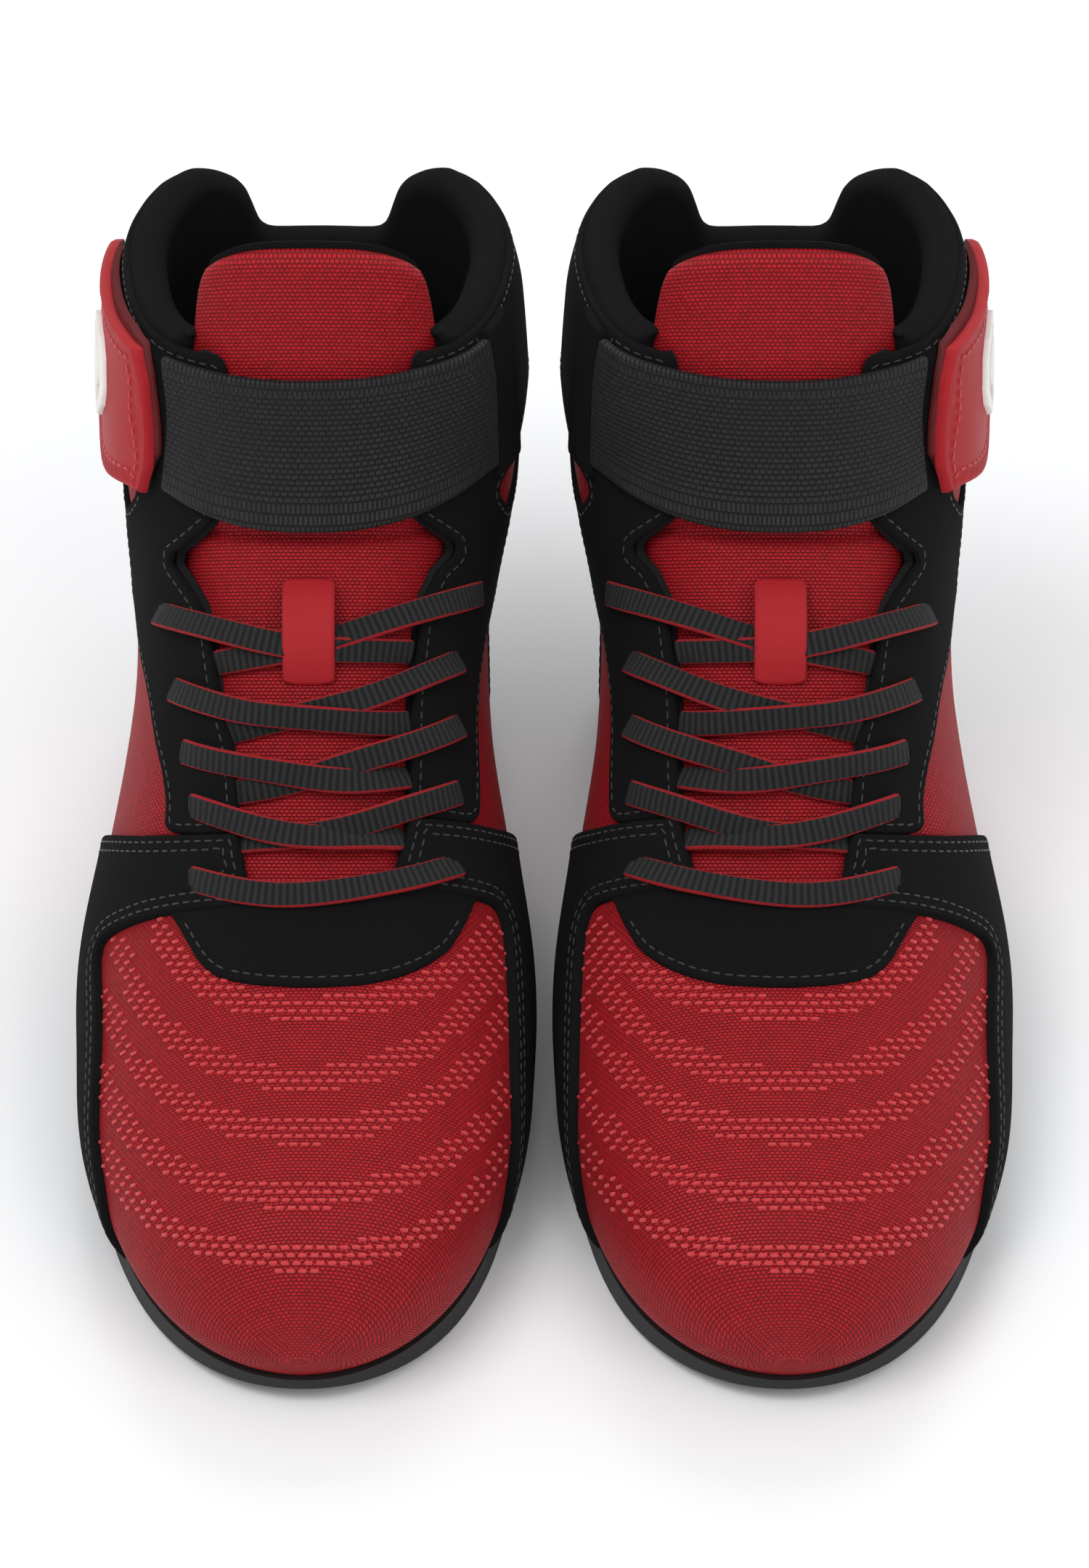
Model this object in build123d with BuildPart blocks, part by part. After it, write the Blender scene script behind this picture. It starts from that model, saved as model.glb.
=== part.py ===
"""A pair of mid-height lace-up boxing boots.

Each boot is layered on one curved outer skin: linings and stiffeners inside, woven panels on it,
suede overlays on those, then laces and an elastic ankle strap. The left boot is modelled with its
outer (lateral) side towards +X, and the right boot is its mirror image. +Z is up, the toes point
to -Y, and the origin is on the floor under the middle of the pair.
"""
from build123d import *
import os
from math import cos, hypot, pi, radians, sin

os.makedirs("parts", exist_ok=True)

# Overall sizes, mm
boot_length = 290.0
ball_width = 110.0
collar_height = 159.0
sole_thickness = 8.0
boots_apart = 113.0          # between the centre planes of the two boots

# Thickness of each layer, from the outer skin inwards and outwards
canvas_thickness = 1.2
lining_thickness = 2.2
stiffener_thickness = 1.2
collar_thickness = 9.0       # padded collar, from the outer skin to the ankle
suede_thickness = 1.4
board_thickness = 2.0
footbed_thickness = 4.5
footbed_clearance = 0.2      # between the footbed's edge and the lining

# Tongue, lace and keeper
tongue_clearance = 0.4
tongue_thickness = 4.4
tongue_squeeze = 0.88        # the tongue is rounder than the shaft in front of it
tongue_tilt = 12.0           # degrees that the free top leans back
lace_width = 7.4
lace_thickness = 1.4
lace_step = 3.0              # overlap where a run changes level
keeper_width = 12.0
keeper_thickness = 1.2
keeper_end = 3.0

# Ankle strap and its tab
strap_bottom = 126.0
strap_width = 31.0           # height of the band on the shaft
strap_clearance = 0.4
strap_thickness = 1.8
tab_thickness = 2.2
emblem_height = 0.9
anchor_thickness = 2.0
fit_gap = 0.4                # between pieces that move apart
swing_gap = 1.6              # behind the strap's sewn edge, and before the hook patch

# Outsole
sole_lip = 1.5               # how far the sole stands out round the upper
toe_spring = 6.0
toe_spring_length = 48.0
tread_depth = 1.2
tread_width = 2.0
tread_pitch = 9.0

# The shape tables below are drawn for this boot, then stretched to the sizes above.
DRAWN_LENGTH, DRAWN_WIDTH, DRAWN_HEIGHT, DRAWN_SOLE = 290.0, 110.0, 159.0, 8.0
long = boot_length / DRAWN_LENGTH
wide = ball_width / DRAWN_WIDTH
tall = (collar_height - sole_thickness) / (DRAWN_HEIGHT - DRAWN_SOLE)

# Centre line up the front, from under the toe to the top of the shin: (y, z)
FRONT = [(0, 18), (1.2, 26), (5, 34), (13, 41.5), (28, 48), (50, 53), (81, 60), (100, 69),
         (120, 82), (140, 98), (158, 114), (172, 130), (184, 150), (191, 168), (197, 194)]
# Back of the heel and ankle: (z, y)
BACK = [(8, 283), (20, 287), (35, 288.5), (60, 286), (90, 280), (120, 277), (150, 279), (195, 283)]
# Half widths of the foot part along the boot: (y, x), and of the shaft up the leg: (z, x)
FOOT_LATERAL = [(0, 48), (40, 50), (70, 52.8), (95, 54.6), (120, 56), (150, 53), (190, 47.5),
                (240, 42), (290, 38)]
FOOT_MEDIAL = [(0, 50), (40, 50), (80, 51.5), (110, 52.5), (145, 49), (180, 44), (240, 40), (290, 38)]
SHAFT_LATERAL = [(0, 47), (50, 47), (75, 46.5), (100, 48), (130, 49.5), (150, 48.5), (170, 45), (195, 43)]
SHAFT_MEDIAL = [(0, 44), (50, 43), (72, 43.5), (88, 47), (105, 50.5), (125, 53), (145, 52.5),
                (165, 48.5), (195, 45)]
WIDEST_LEVEL = 18.0          # the upper is widest here and tucks in below it
TUCK = 3.0
TOE_REACH = 85.0
LEVELS = [8, 13, 18, 25, 32, 39, 45, 50, 54, 58, 62, 68, 77, 89, 103, 118, 134, 152, 172, 192]
RING_POINTS = 24
SHIN_SLOPE = (FRONT[-1][1] - FRONT[-2][1]) / (FRONT[-1][0] - FRONT[-2][0])


def up(z):
    """The real level of a drawn height."""
    return sole_thickness + (z - DRAWN_SOLE) * tall


def drawn(level):
    """The drawn height of a real level."""
    return DRAWN_SOLE + (level - sole_thickness) / tall


def along(table, at):
    """A smooth value between the pairs of a table, with no overshoot."""
    gaps = [b[0] - a[0] for a, b in zip(table, table[1:])]
    slopes = [(b[1] - a[1]) / gap for a, b, gap in zip(table, table[1:], gaps)]
    middles = [0.0 if a * b <= 0 else 2 * a * b / (a + b) for a, b in zip(slopes, slopes[1:])]
    tangents = [slopes[0]] + middles + [slopes[-1]]
    if at <= table[0][0]:
        return table[0][1] + tangents[0] * (at - table[0][0])
    if at >= table[-1][0]:
        return table[-1][1] + tangents[-1] * (at - table[-1][0])
    span = max(k for k, pair in enumerate(table[:-1]) if pair[0] <= at)
    t = (at - table[span][0]) / gaps[span]
    return ((2 * t**3 - 3 * t**2 + 1) * table[span][1] + (3 * t**2 - 2 * t**3) * table[span + 1][1]
            + (t**3 - 2 * t**2 + t) * gaps[span] * tangents[span]
            + (t**3 - t**2) * gaps[span] * tangents[span + 1])


def ease(low, high, value):
    """0 below low, 1 above high, smooth between."""
    t = min(max((value - low) / (high - low), 0.0), 1.0)
    return t * t * (3 - 2 * t)


def straight(points, at, given, wanted):
    """Read one coordinate of a polyline from the other."""
    for a, b in zip(points, points[1:]):
        if a[given] <= at <= b[given]:
            return a[wanted] + (b[wanted] - a[wanted]) * (at - a[given]) / (b[given] - a[given])
    near = points[0] if at < points[0][given] else points[-1]
    return near[wanted]


def front_line(grown):
    """Close points up the front of the boot, moved out square to the line."""
    walk = [0.0]
    for a, b in zip(FRONT, FRONT[1:]):
        walk.append(walk[-1] + hypot(b[0] - a[0], b[1] - a[1]))
    ys = list(zip(walk, [y * long for y, z in FRONT]))
    zs = list(zip(walk, [up(z) for y, z in FRONT]))
    line = [(along(ys, s), along(zs, s)) for s in [walk[-1] * k / 240 for k in range(241)]]
    moved = []
    for k, (y, z) in enumerate(line):
        before, after = line[max(k - 1, 0)], line[min(k + 1, 240)]
        run = hypot(after[0] - before[0], after[1] - before[1])
        moved.append((y - grown * (after[1] - before[1]) / run, z + grown * (after[0] - before[0]) / run))
    return moved


FRONT_LINES = {}


def front_points(grown):
    if grown not in FRONT_LINES:
        FRONT_LINES[grown] = front_line(grown)
    return FRONT_LINES[grown]


def tuck_at(level):
    """How far the upper is drawn in at this level, below its widest one."""
    return TUCK * min(max((WIDEST_LEVEL - drawn(level)) / (WIDEST_LEVEL - DRAWN_SOLE), 0.0), 1.0) ** 2


def half_width(y, level, side, grown):
    """Half width of the outer skin at y and a level, on one side (+1 lateral, -1 medial)."""
    z = drawn(level)
    shaft = ease(30, 112, z)
    foot_table, shaft_table, toe_power = ((FOOT_LATERAL, SHAFT_LATERAL, 2.25) if side > 0
                                          else (FOOT_MEDIAL, SHAFT_MEDIAL, 2.3))
    start = tuck_at(level) - grown
    ahead = min(max((TOE_REACH * long - (y - start)) / (TOE_REACH * long), 0.0), 1.0)
    toe = (1 - ahead**toe_power) ** (1 / toe_power)
    reach = ((along(foot_table, y / long) * wide + grown) * toe * (1 - shaft)
             + (along(shaft_table, z) * wide + grown) * shaft)
    crown = 1.9 + 0.5 * ease(40, 110, z) if side > 0 else 2.6 - 0.2 * ease(40, 110, z)
    shin_y = front_points(grown)[-1][0]
    top = straight(front_points(grown), y, 0, 1) + max(y - shin_y, 0.0) * SHIN_SLOPE
    rise = min(max((level - up(WIDEST_LEVEL)) / max(top - up(WIDEST_LEVEL), 0.01), 0.0), 1.0)
    dome = (1 - rise**crown) ** (1 / crown)
    heel = along(BACK, z) * long + grown
    turn = heel - (46 + 6 * ease(60, 140, z)) * long
    behind = min(max((y - turn) / (heel - turn), 0.0), 1.0)
    rear = (1 - behind**2.3) ** (1 / 2.3)
    return max((reach * dome - tuck_at(level)) * rear, 0.0)


def ring(level, grown, squeeze=1.0):
    """Points round the skin at one level, from the front, by the lateral side, back to the front."""
    widest = up(WIDEST_LEVEL)
    front = straight(front_points(grown), level, 1, 0) if level > widest else tuck_at(level) - grown
    back = along(BACK, drawn(level)) * long + grown
    points = []
    for k in range(RING_POINTS):
        turn = 2 * k / RING_POINTS
        side = 1 if turn <= 1 else -1
        y = front + (back - front) * (1 - cos(pi * turn)) / 2
        x = 0.0 if k in (0, RING_POINTS // 2) else side * half_width(y, level, side, grown)
        points.append(Vector(x * squeeze, y, level))
    return points


def skin(grown, squeeze=1.0):
    """The closed solid inside the outer skin, grown outwards by this much."""
    with BuildPart() as body:
        for z in LEVELS:
            with BuildSketch(Plane.XY.offset(up(z))):
                with BuildLine():
                    knots = [k / RING_POINTS for k in range(RING_POINTS + 1)]
                    outline = [Vector(p.X, p.Y) for p in ring(up(z), grown, squeeze)]
                    add(Edge.make_spline(outline, periodic=True, parameters=knots))
                make_face()
        loft()
    return body.part


def layer(outer, inner, squeeze=1.0):
    """The closed wall between two skins."""
    with BuildPart() as wall:
        add(skin(outer, squeeze))
        add(skin(inner, squeeze), mode=Mode.SUBTRACT)
    return wall.part


# Front outlines are drawn across (x) and up a plane that leans back with the instep.
FRONT_TILT = radians(42)
front_origin = (0, 130 * long, up(90))
front_plane = Plane(origin=front_origin, x_dir=(1, 0, 0), z_dir=(0, -cos(FRONT_TILT), sin(FRONT_TILT)))
SIDE_REACH = 90 * wide
FRONT_REACH = 34 * wide


def climb(y, z):
    """How far up the front plane a point of the drawn boot is."""
    return y * sin(FRONT_TILT) + z * cos(FRONT_TILT)


def on_front(x, v):
    """A drawn front point (across, up) on the front plane of the real boot."""
    low = max([p for p in FRONT[3:-1] if climb(*p) <= v], key=lambda p: climb(*p))
    high = FRONT[FRONT.index(low) + 1]
    part = (v - climb(*low)) / (climb(*high) - climb(*low))
    y = (low[0] + (high[0] - low[0]) * part) * long
    z = up(low[1] + (high[1] - low[1]) * part)
    return (x * wide, climb(y - front_origin[1], z - front_origin[2]))


def front_prism(points, depth=FRONT_REACH):
    """A front outline pushed through the front wall of the boot only."""
    with BuildPart() as prism:
        with BuildSketch(front_plane):
            with BuildLine():
                Polyline(*[on_front(*p) for p in points], close=True)
            make_face()
        extrude(amount=depth, both=True)
    return prism.part


def side_prism(points, sides=(1, -1)):
    """A side outline (y, z) pushed out through one or both sides."""
    with BuildPart() as prism:
        for side in sides:
            with BuildSketch(Plane.YZ):
                with BuildLine():
                    Polyline(*[(y * long, up(z)) for y, z in points], close=True)
                make_face()
            extrude(amount=side * SIDE_REACH)
    return prism.part


def back_prism(points):
    """A back outline (x, z) pushed through the rear wall."""
    with BuildPart() as prism:
        with BuildSketch(Plane.XZ.offset(-238 * long)):
            with BuildLine():
                Polyline(*[(x * wide, up(z)) for x, z in points], close=True)
            make_face()
        extrude(amount=-80 * long)
    return prism.part


def level_slab(bottom, thickness):
    """Everything between two real levels."""
    with BuildPart() as slab:
        with BuildSketch(Plane.XY.offset(bottom)):
            with Locations((0, boot_length / 2)):
                Rectangle(2 * SIDE_REACH, 2 * boot_length)
        extrude(amount=thickness)
    return slab.part


def above_topline(lift):
    """What is cut away above the collar line, with the Achilles notch between the two ears."""
    line = [(140, 159), (205, 159), (235, 158), (252, 158), (262, 158.5), (269, 157.5), (275, 155),
            (310, 150)]
    notch = [(-14, 133), (12, 133), (16, 136), (19, 145), (22, 152), (28, 162), (34, 220), (-34, 220),
             (-29, 162), (-23.5, 152), (-21, 145), (-18, 136)]
    with BuildPart() as cut:
        add(side_prism([(y, z + lift) for y, z in line] + [(310, 220), (140, 220)]))
        add(back_prism([(x, z + lift) for x, z in notch]))
    return cut.part


# Outlines that several pieces share
GAP_LATERAL = [(13, 119), (14.5, 124), (16, 133), (16.5, 141), (17.5, 153), (19.5, 160), (21.5, 168),
               (23.5, 182), (26, 188), (29.5, 193), (34, 199), (28, 203), (21.5, 208.5), (18, 243),
               (24, 249), (31, 257)]
GAP_MEDIAL = [(-20, 119), (-22, 127), (-24, 135), (-24.5, 149), (-24.5, 165), (-26, 178), (-27, 188),
              (-29, 192), (-31, 196), (-35, 200), (-35, 202.5), (-30, 205.5), (-25, 209), (-24, 244),
              (-31, 251), (-38, 260)]
gap = front_prism(GAP_LATERAL + list(reversed(GAP_MEDIAL)))
topline = above_topline(0)

SADDLE_LATERAL = [(108, 82), (121.5, 68), (137, 54), (153, 39.5), (183, 0), (40, 0), (41, 16), (48, 23),
                  (57, 26), (72, 32), (92, 36.5), (104, 38.5), (110, 40), (111.5, 43), (110, 47),
                  (105.5, 55.5), (102, 61), (98.5, 66), (93, 74)]
SADDLE_MEDIAL = [(112, 84), (118.5, 77), (125, 69), (132.5, 60), (150, 42), (186, 0), (43, 0), (44, 14),
                 (50, 20.5), (58, 27), (69, 35), (88, 40.5), (106, 48), (110.5, 51.5), (111.5, 54.5),
                 (107.5, 61), (104, 66), (97, 76)]
saddle_lateral_side = side_prism(SADDLE_LATERAL, (1,))
saddle_medial_side = side_prism(SADDLE_MEDIAL, (-1,))
window = side_prism([(192, 118), (198, 107), (206, 106), (235, 104), (300, 107), (300, 121), (235, 124),
                     (206, 121)])
back_strip = back_prism([(-11, 62), (11, 62), (9, 100), (11, 140), (-11, 140), (-9, 100)])
heel_cover = side_prism([(228, 0), (232, 28), (242, 46), (256, 60), (270, 68), (310, 72), (310, 0)])
vamp_side = side_prism([(-20, 0), (-20, 95), (106, 95), (118, 72), (150, 38), (176, 0)])
collar_space = side_prism([(187, 170), (190, 128), (200, 114), (230, 110), (310, 108), (310, 220),
                           (187, 220)])

# Walls between skins
suede_layer = layer(suede_thickness, 0)
canvas_layer = layer(0, -canvas_thickness)
lining_layer = layer(-canvas_thickness, -canvas_thickness - lining_thickness)
stiffener_layer = layer(-canvas_thickness, -canvas_thickness - stiffener_thickness)
inside = skin(-canvas_thickness - lining_thickness - footbed_clearance)
tongue_outside = -canvas_thickness - tongue_clearance
TONGUE = [(-30, 108), (26, 108), (33, 150), (34, 200), (31, 240), (29, 262), (26, 268), (-29, 268),
          (-32, 262), (-35, 240), (-38, 200), (-38, 150)]


def grown_outline(points, by):
    """A front outline moved outwards from its middle line."""
    return [(x + (by if x > 0 else -by), v) for x, v in points]


with BuildPart() as tongue_space:
    add(skin(-canvas_thickness, tongue_squeeze))
    add(front_prism(grown_outline(TONGUE, 1.5), FRONT_REACH + 4), mode=Mode.INTERSECT)

pieces = {}


def finish(name, part):
    """Keep a finished piece under its name."""
    pieces[name] = part


def boot_point(x, y, level):
    """A point of the left boot in the frame of the pair."""
    return (round(x + boots_apart / 2, 2), round(y - boot_length / 2, 2), round(level, 2))


# ---- Sole unit ----
with BuildPart() as outsole:
    with BuildSketch() as sole_outline:
        with BuildLine():
            add(Edge.make_spline([Vector(p.X, p.Y) for p in ring(sole_thickness, sole_lip)], periodic=True))
        make_face()
    extrude(amount=sole_thickness)
    with BuildSketch(Plane.YZ) as toe_lift:
        with BuildLine():
            Line((-10, 0), (toe_spring_length, 0))
            Spline((toe_spring_length, 0), (toe_spring_length / 2, toe_spring / 4), (-sole_lip, toe_spring),
                   tangents=((-1, 0), (-1, 0.35)))
            Polyline((-sole_lip, toe_spring), (-10, toe_spring), (-10, 0))
        make_face()
    extrude(amount=SIDE_REACH, both=True, mode=Mode.SUBTRACT)
    tread_rows = int((boot_length - 2 * toe_spring_length) / tread_pitch)
    with BuildSketch(Plane.XY) as tread:
        with Locations((0, boot_length / 2 + tread_pitch)):
            with GridLocations(0, tread_pitch, 1, tread_rows):
                Rectangle(ball_width * 0.42, tread_width)
    extrude(amount=tread_depth, mode=Mode.SUBTRACT)
finish("outsole", outsole.part)

with BuildPart() as insole_board:
    add(inside)
    add(level_slab(sole_thickness, board_thickness), mode=Mode.INTERSECT)
finish("insole_board", insole_board.part)

with BuildPart() as footbed:
    add(inside)
    add(level_slab(sole_thickness + board_thickness, footbed_thickness), mode=Mode.INTERSECT)
finish("footbed", footbed.part)

# ---- Woven panels ----
with BuildPart() as vamp:
    add(canvas_layer)
    add(vamp_side, mode=Mode.INTERSECT)
    add(gap, mode=Mode.SUBTRACT)
finish("vamp", vamp.part)

for side_name, side in (("lateral", 1), ("medial", -1)):
    with BuildPart() as quarter:
        add(canvas_layer)
        add(vamp_side, mode=Mode.SUBTRACT)
        add(side_prism([(-20, 0), (310, 0), (310, 220), (-20, 220)], (side,)), mode=Mode.INTERSECT)
        add(gap, mode=Mode.SUBTRACT)
        add(topline, mode=Mode.SUBTRACT)
    finish(side_name + "_quarter", quarter.part)

# ---- Stiffeners and linings ----
toe_zone = side_prism([(-20, 0), (-20, 62), (36, 62), (44, 34), (48, 0)])
heel_zone = side_prism([(222, 0), (228, 34), (244, 56), (262, 68), (310, 74), (310, 0)])
with BuildPart() as toe_puff:
    add(stiffener_layer)
    add(toe_zone, mode=Mode.INTERSECT)
finish("toe_puff", toe_puff.part)

with BuildPart() as heel_stiffener:
    add(stiffener_layer)
    add(heel_zone, mode=Mode.INTERSECT)
finish("heel_stiffener", heel_stiffener.part)

with BuildPart() as vamp_lining:
    add(lining_layer)
    add(vamp_side, mode=Mode.INTERSECT)
    add(toe_puff.part, mode=Mode.SUBTRACT)
    add(gap, mode=Mode.SUBTRACT)
    add(tongue_space.part, mode=Mode.SUBTRACT)
finish("vamp_lining", vamp_lining.part)

with BuildPart() as quarter_lining:
    add(lining_layer)
    add(vamp_side, mode=Mode.SUBTRACT)
    add(collar_space, mode=Mode.SUBTRACT)
    add(heel_stiffener.part, mode=Mode.SUBTRACT)
    add(gap, mode=Mode.SUBTRACT)
    add(topline, mode=Mode.SUBTRACT)
    add(tongue_space.part, mode=Mode.SUBTRACT)
finish("quarter_lining", quarter_lining.part)

with BuildPart() as collar_pad:
    add(layer(-canvas_thickness, -collar_thickness))
    add(collar_space, mode=Mode.INTERSECT)
    add(gap, mode=Mode.SUBTRACT)
    add(above_topline(1.5), mode=Mode.SUBTRACT)
    add(tongue_space.part, mode=Mode.SUBTRACT)
finish("collar_pad", collar_pad.part)

# ---- Suede overlays ----
with BuildPart() as throat_patch:
    add(suede_layer)
    add(front_prism([(34, 116), (32, 113), (29, 108.5), (25, 102), (20.5, 98.5), (11, 97), (0, 96.5),
                     (-14, 97), (-22.5, 98.8), (-29, 101.5), (-34, 105), (-37.5, 111), (-40, 117),
                     (-40, 122), (34, 122)]), mode=Mode.INTERSECT)
    add(gap, mode=Mode.SUBTRACT)
    add(saddle_lateral_side, mode=Mode.SUBTRACT)
    add(saddle_medial_side, mode=Mode.SUBTRACT)
finish("throat_patch", throat_patch.part)

throat_middle = front_prism([(-22, 90), (16, 90), (16, 121), (-22, 121)])
for side_name, saddle_side in (("lateral", saddle_lateral_side), ("medial", saddle_medial_side)):
    with BuildPart() as saddle:
        add(suede_layer)
        add(saddle_side, mode=Mode.INTERSECT)
        add(gap, mode=Mode.SUBTRACT)
        add(throat_middle, mode=Mode.SUBTRACT)
    finish(side_name + "_saddle", saddle.part)

FACING_LATERAL = [(90, 100), (108, 82), (121.5, 68), (129, 73), (137, 76), (147, 78), (160, 81),
                  (178, 80), (198, 81), (198, 220), (90, 220)]
FACING_MEDIAL = [(90, 110), (112, 84), (118.5, 77), (128, 65), (143, 70), (154, 75), (164, 79), (178, 83),
                 (198, 81), (198, 220), (90, 220)]
for side_name, side, outline, below in (("lateral", 1, FACING_LATERAL, saddle_lateral_side),
                                        ("medial", -1, FACING_MEDIAL, saddle_medial_side)):
    with BuildPart() as eyestay:
        add(suede_layer)
        add(side_prism(outline, (side,)), mode=Mode.INTERSECT)
        add(below, mode=Mode.SUBTRACT)
        add(gap, mode=Mode.SUBTRACT)
        add(topline, mode=Mode.SUBTRACT)
        add(window, mode=Mode.SUBTRACT)
    finish(side_name + "_eyestay", eyestay.part)

with BuildPart() as ankle_band:
    add(suede_layer)
    add(side_prism([(198, 81), (215, 80), (240, 79), (262, 81), (310, 84), (310, 107), (235, 104),
                    (206, 106), (198, 107)]), mode=Mode.INTERSECT)
    add(back_strip, mode=Mode.SUBTRACT)
finish("ankle_band", ankle_band.part)

loop_side = side_prism([(200, 126), (252, 128), (254, 150), (203, 152)], (1,))
with BuildPart() as collar_overlay:
    add(suede_layer)
    add(side_prism([(198, 119), (206, 121), (235, 124), (310, 121), (310, 220), (198, 220)]),
        mode=Mode.INTERSECT)
    add(back_strip, mode=Mode.SUBTRACT)
    add(topline, mode=Mode.SUBTRACT)
    add(loop_side, mode=Mode.SUBTRACT)
finish("collar_overlay", collar_overlay.part)

with BuildPart() as loop_patch:
    add(suede_layer)
    add(loop_side, mode=Mode.INTERSECT)
finish("loop_patch", loop_patch.part)

with BuildPart() as heel_overlay:
    add(suede_layer)
    with BuildPart(mode=Mode.PRIVATE) as heel_region:
        add(heel_cover)
        add(back_strip)
    add(heel_region.part, mode=Mode.INTERSECT)
    add(topline, mode=Mode.SUBTRACT)
finish("heel_overlay", heel_overlay.part)

# ---- Tongue, in two parts that meet at the fold under the strap ----
tongue_back = tongue_outside - tongue_thickness
tongue_layer = layer(tongue_outside, tongue_back, tongue_squeeze)
fold_v = climb(165.5, 123.5)
fold_climb = climb(165.5 * long, up(123.5))
back_line = [(climb(y, z), y, z) for y, z in front_points(tongue_back)]
fold_y = straight(back_line, fold_climb, 0, 1)
fold_z = straight(back_line, fold_climb, 0, 2)


def from_fold(forward, upward):
    """A point (y, z) from the fold: towards the toes along the view of the front plane, and up it."""
    return (fold_y - cos(FRONT_TILT) * forward + sin(FRONT_TILT) * upward,
            fold_z + sin(FRONT_TILT) * forward + cos(FRONT_TILT) * upward)


with BuildPart() as tongue_lower:
    add(tongue_layer)
    add(front_prism([(-30, 108), (26, 108), (33, 150), (34, fold_v), (-38, fold_v), (-38, 150)]),
        mode=Mode.INTERSECT)
finish("tongue_lower", tongue_lower.part)

# Behind the fold the top's lower edge rises, so that it clears the lower part when it tilts back.
with BuildPart() as above_fold:
    with BuildSketch(Plane.YZ):
        with BuildLine():
            Polyline(from_fold(60, fit_gap), from_fold(0, fit_gap),
                     from_fold(-60 * cos(radians(tongue_tilt)), 60 * sin(radians(tongue_tilt)) + fit_gap),
                     from_fold(-60, 160), from_fold(60, 160), close=True)
        make_face()
    extrude(amount=SIDE_REACH, both=True)
with BuildPart() as tongue_top:
    add(tongue_layer)
    add(front_prism([(-38, fold_v - 8), (34, fold_v - 8), (31, 240), (29, 262), (26, 268), (-29, 268),
                     (-32, 262), (-35, 240)]), mode=Mode.INTERSECT)
    add(above_fold.part, mode=Mode.INTERSECT)
finish("tongue_top", tongue_top.part)

# ---- Lace: a bar at the bottom and four crossings, with the ends tucked in ----
LACE_LATERAL = [(36.5, 186), (32.5, 167), (29.5, 152.5), (27.5, 139), (27.5, 121)]
LACE_MEDIAL = [(-40.5, 191.5), (-35, 174), (-35.5, 159), (-35.5, 142.5), (-35.5, 125)]
UNDER_MEDIAL = [(-23.5, 176), (-23.5, 159.5), (-23.5, 146), (-22.5, 131.5)]
UNDER_LATERAL = [(21, 173.5), (17.5, 157.5), (16, 143), (14.5, 131)]
LACE_DIP = -15.5      # where a crossing run goes down between the facings
lace_layer = layer(suede_thickness + lace_thickness, suede_thickness)


def between(start, end, x):
    """The point at x on the line from start to end."""
    return (x, start[1] + (end[1] - start[1]) * (x - start[0]) / (end[0] - start[0]))


def band_prism(start, end, width):
    """A straight band on the front plane, pushed through the front of the boot."""
    (x0, v0), (x1, v1) = on_front(*start), on_front(*end)
    across, along_x, along_v = hypot(x1 - x0, v1 - v0), (x1 - x0), (v1 - v0)
    side_x, side_v = -along_v / across * width / 2, along_x / across * width / 2
    with BuildPart() as prism:
        with BuildSketch(front_plane):
            with BuildLine():
                Polyline((x0 + side_x, v0 + side_v), (x1 + side_x, v1 + side_v),
                         (x1 - side_x, v1 - side_v), (x0 - side_x, v0 - side_v), close=True)
            make_face()
        extrude(amount=FRONT_REACH, both=True)
    return prism.part


def lace_run(start, end, dip):
    """A run that lies on the facing from start to dip, then a level lower to its end."""
    step = lace_step / 2 if end[0] > start[0] else -lace_step / 2
    with BuildPart() as high:
        add(lace_layer)
        add(band_prism(start, between(start, end, dip + step), lace_width), mode=Mode.INTERSECT)
    with BuildPart() as run:
        add(suede_layer)
        add(band_prism(between(start, end, dip - step), end, lace_width), mode=Mode.INTERSECT)
        add(high.part)
    return run.part


with BuildPart() as lace:
    for row in range(4):
        add(lace_run(LACE_LATERAL[row], UNDER_MEDIAL[row], LACE_DIP))
        add(lace_run(LACE_MEDIAL[row], UNDER_LATERAL[row], UNDER_MEDIAL[row][0] + lace_step / 2))
    with BuildPart(mode=Mode.PRIVATE) as bar:
        add(lace_layer)
        add(band_prism(LACE_LATERAL[4], LACE_MEDIAL[4], lace_width), mode=Mode.INTERSECT)
    add(bar.part)
finish("lace", lace.part)

KEEPER = (169.5, 193.5)
lace_top = suede_thickness + lace_thickness
with BuildPart() as lace_keeper:
    keeper_x = keeper_width / 2 / wide
    for low, high in (KEEPER, (KEEPER[0], KEEPER[0] + keeper_end), (KEEPER[1] - keeper_end, KEEPER[1])):
        bottom = lace_top if (low, high) == KEEPER else tongue_outside
        with BuildPart(mode=Mode.PRIVATE) as strip:
            add(layer(lace_top + keeper_thickness, bottom))
            add(front_prism([(-keeper_x, low), (keeper_x, low), (keeper_x, high), (-keeper_x, high)]),
                mode=Mode.INTERSECT)
        add(strip.part)
finish("lace_keeper", lace_keeper.part)


# ---- Ankle strap: elastic across the front, a rubber tab on its lateral end ----
def slot_edge(z):
    """Front edge of the strap's slot, up the medial side."""
    return 191.5 + (z - 126) * 0.32


def tab_edge(z):
    """Where the elastic ends and the tab begins, up the lateral side."""
    return 181.5 + (z - 124) * 0.39


strap_inside = suede_thickness + strap_clearance
strap_outside = strap_inside + strap_thickness
tab_outside = strap_outside + tab_thickness
strap_layer = layer(strap_outside, strap_inside)
with BuildPart() as strap:
    add(strap_layer)
    add(level_slab(up(strap_bottom), strap_width), mode=Mode.INTERSECT)
    with BuildPart(mode=Mode.PRIVATE) as strap_zone:
        add(side_prism([(140, 100), (slot_edge(100), 100), (slot_edge(190), 190), (140, 190)], (-1,)))
        add(side_prism([(140, 100), (tab_edge(100), 100), (tab_edge(190), 190), (140, 190)], (1,)))
    add(strap_zone.part, mode=Mode.INTERSECT)
finish("strap", strap.part)

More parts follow.
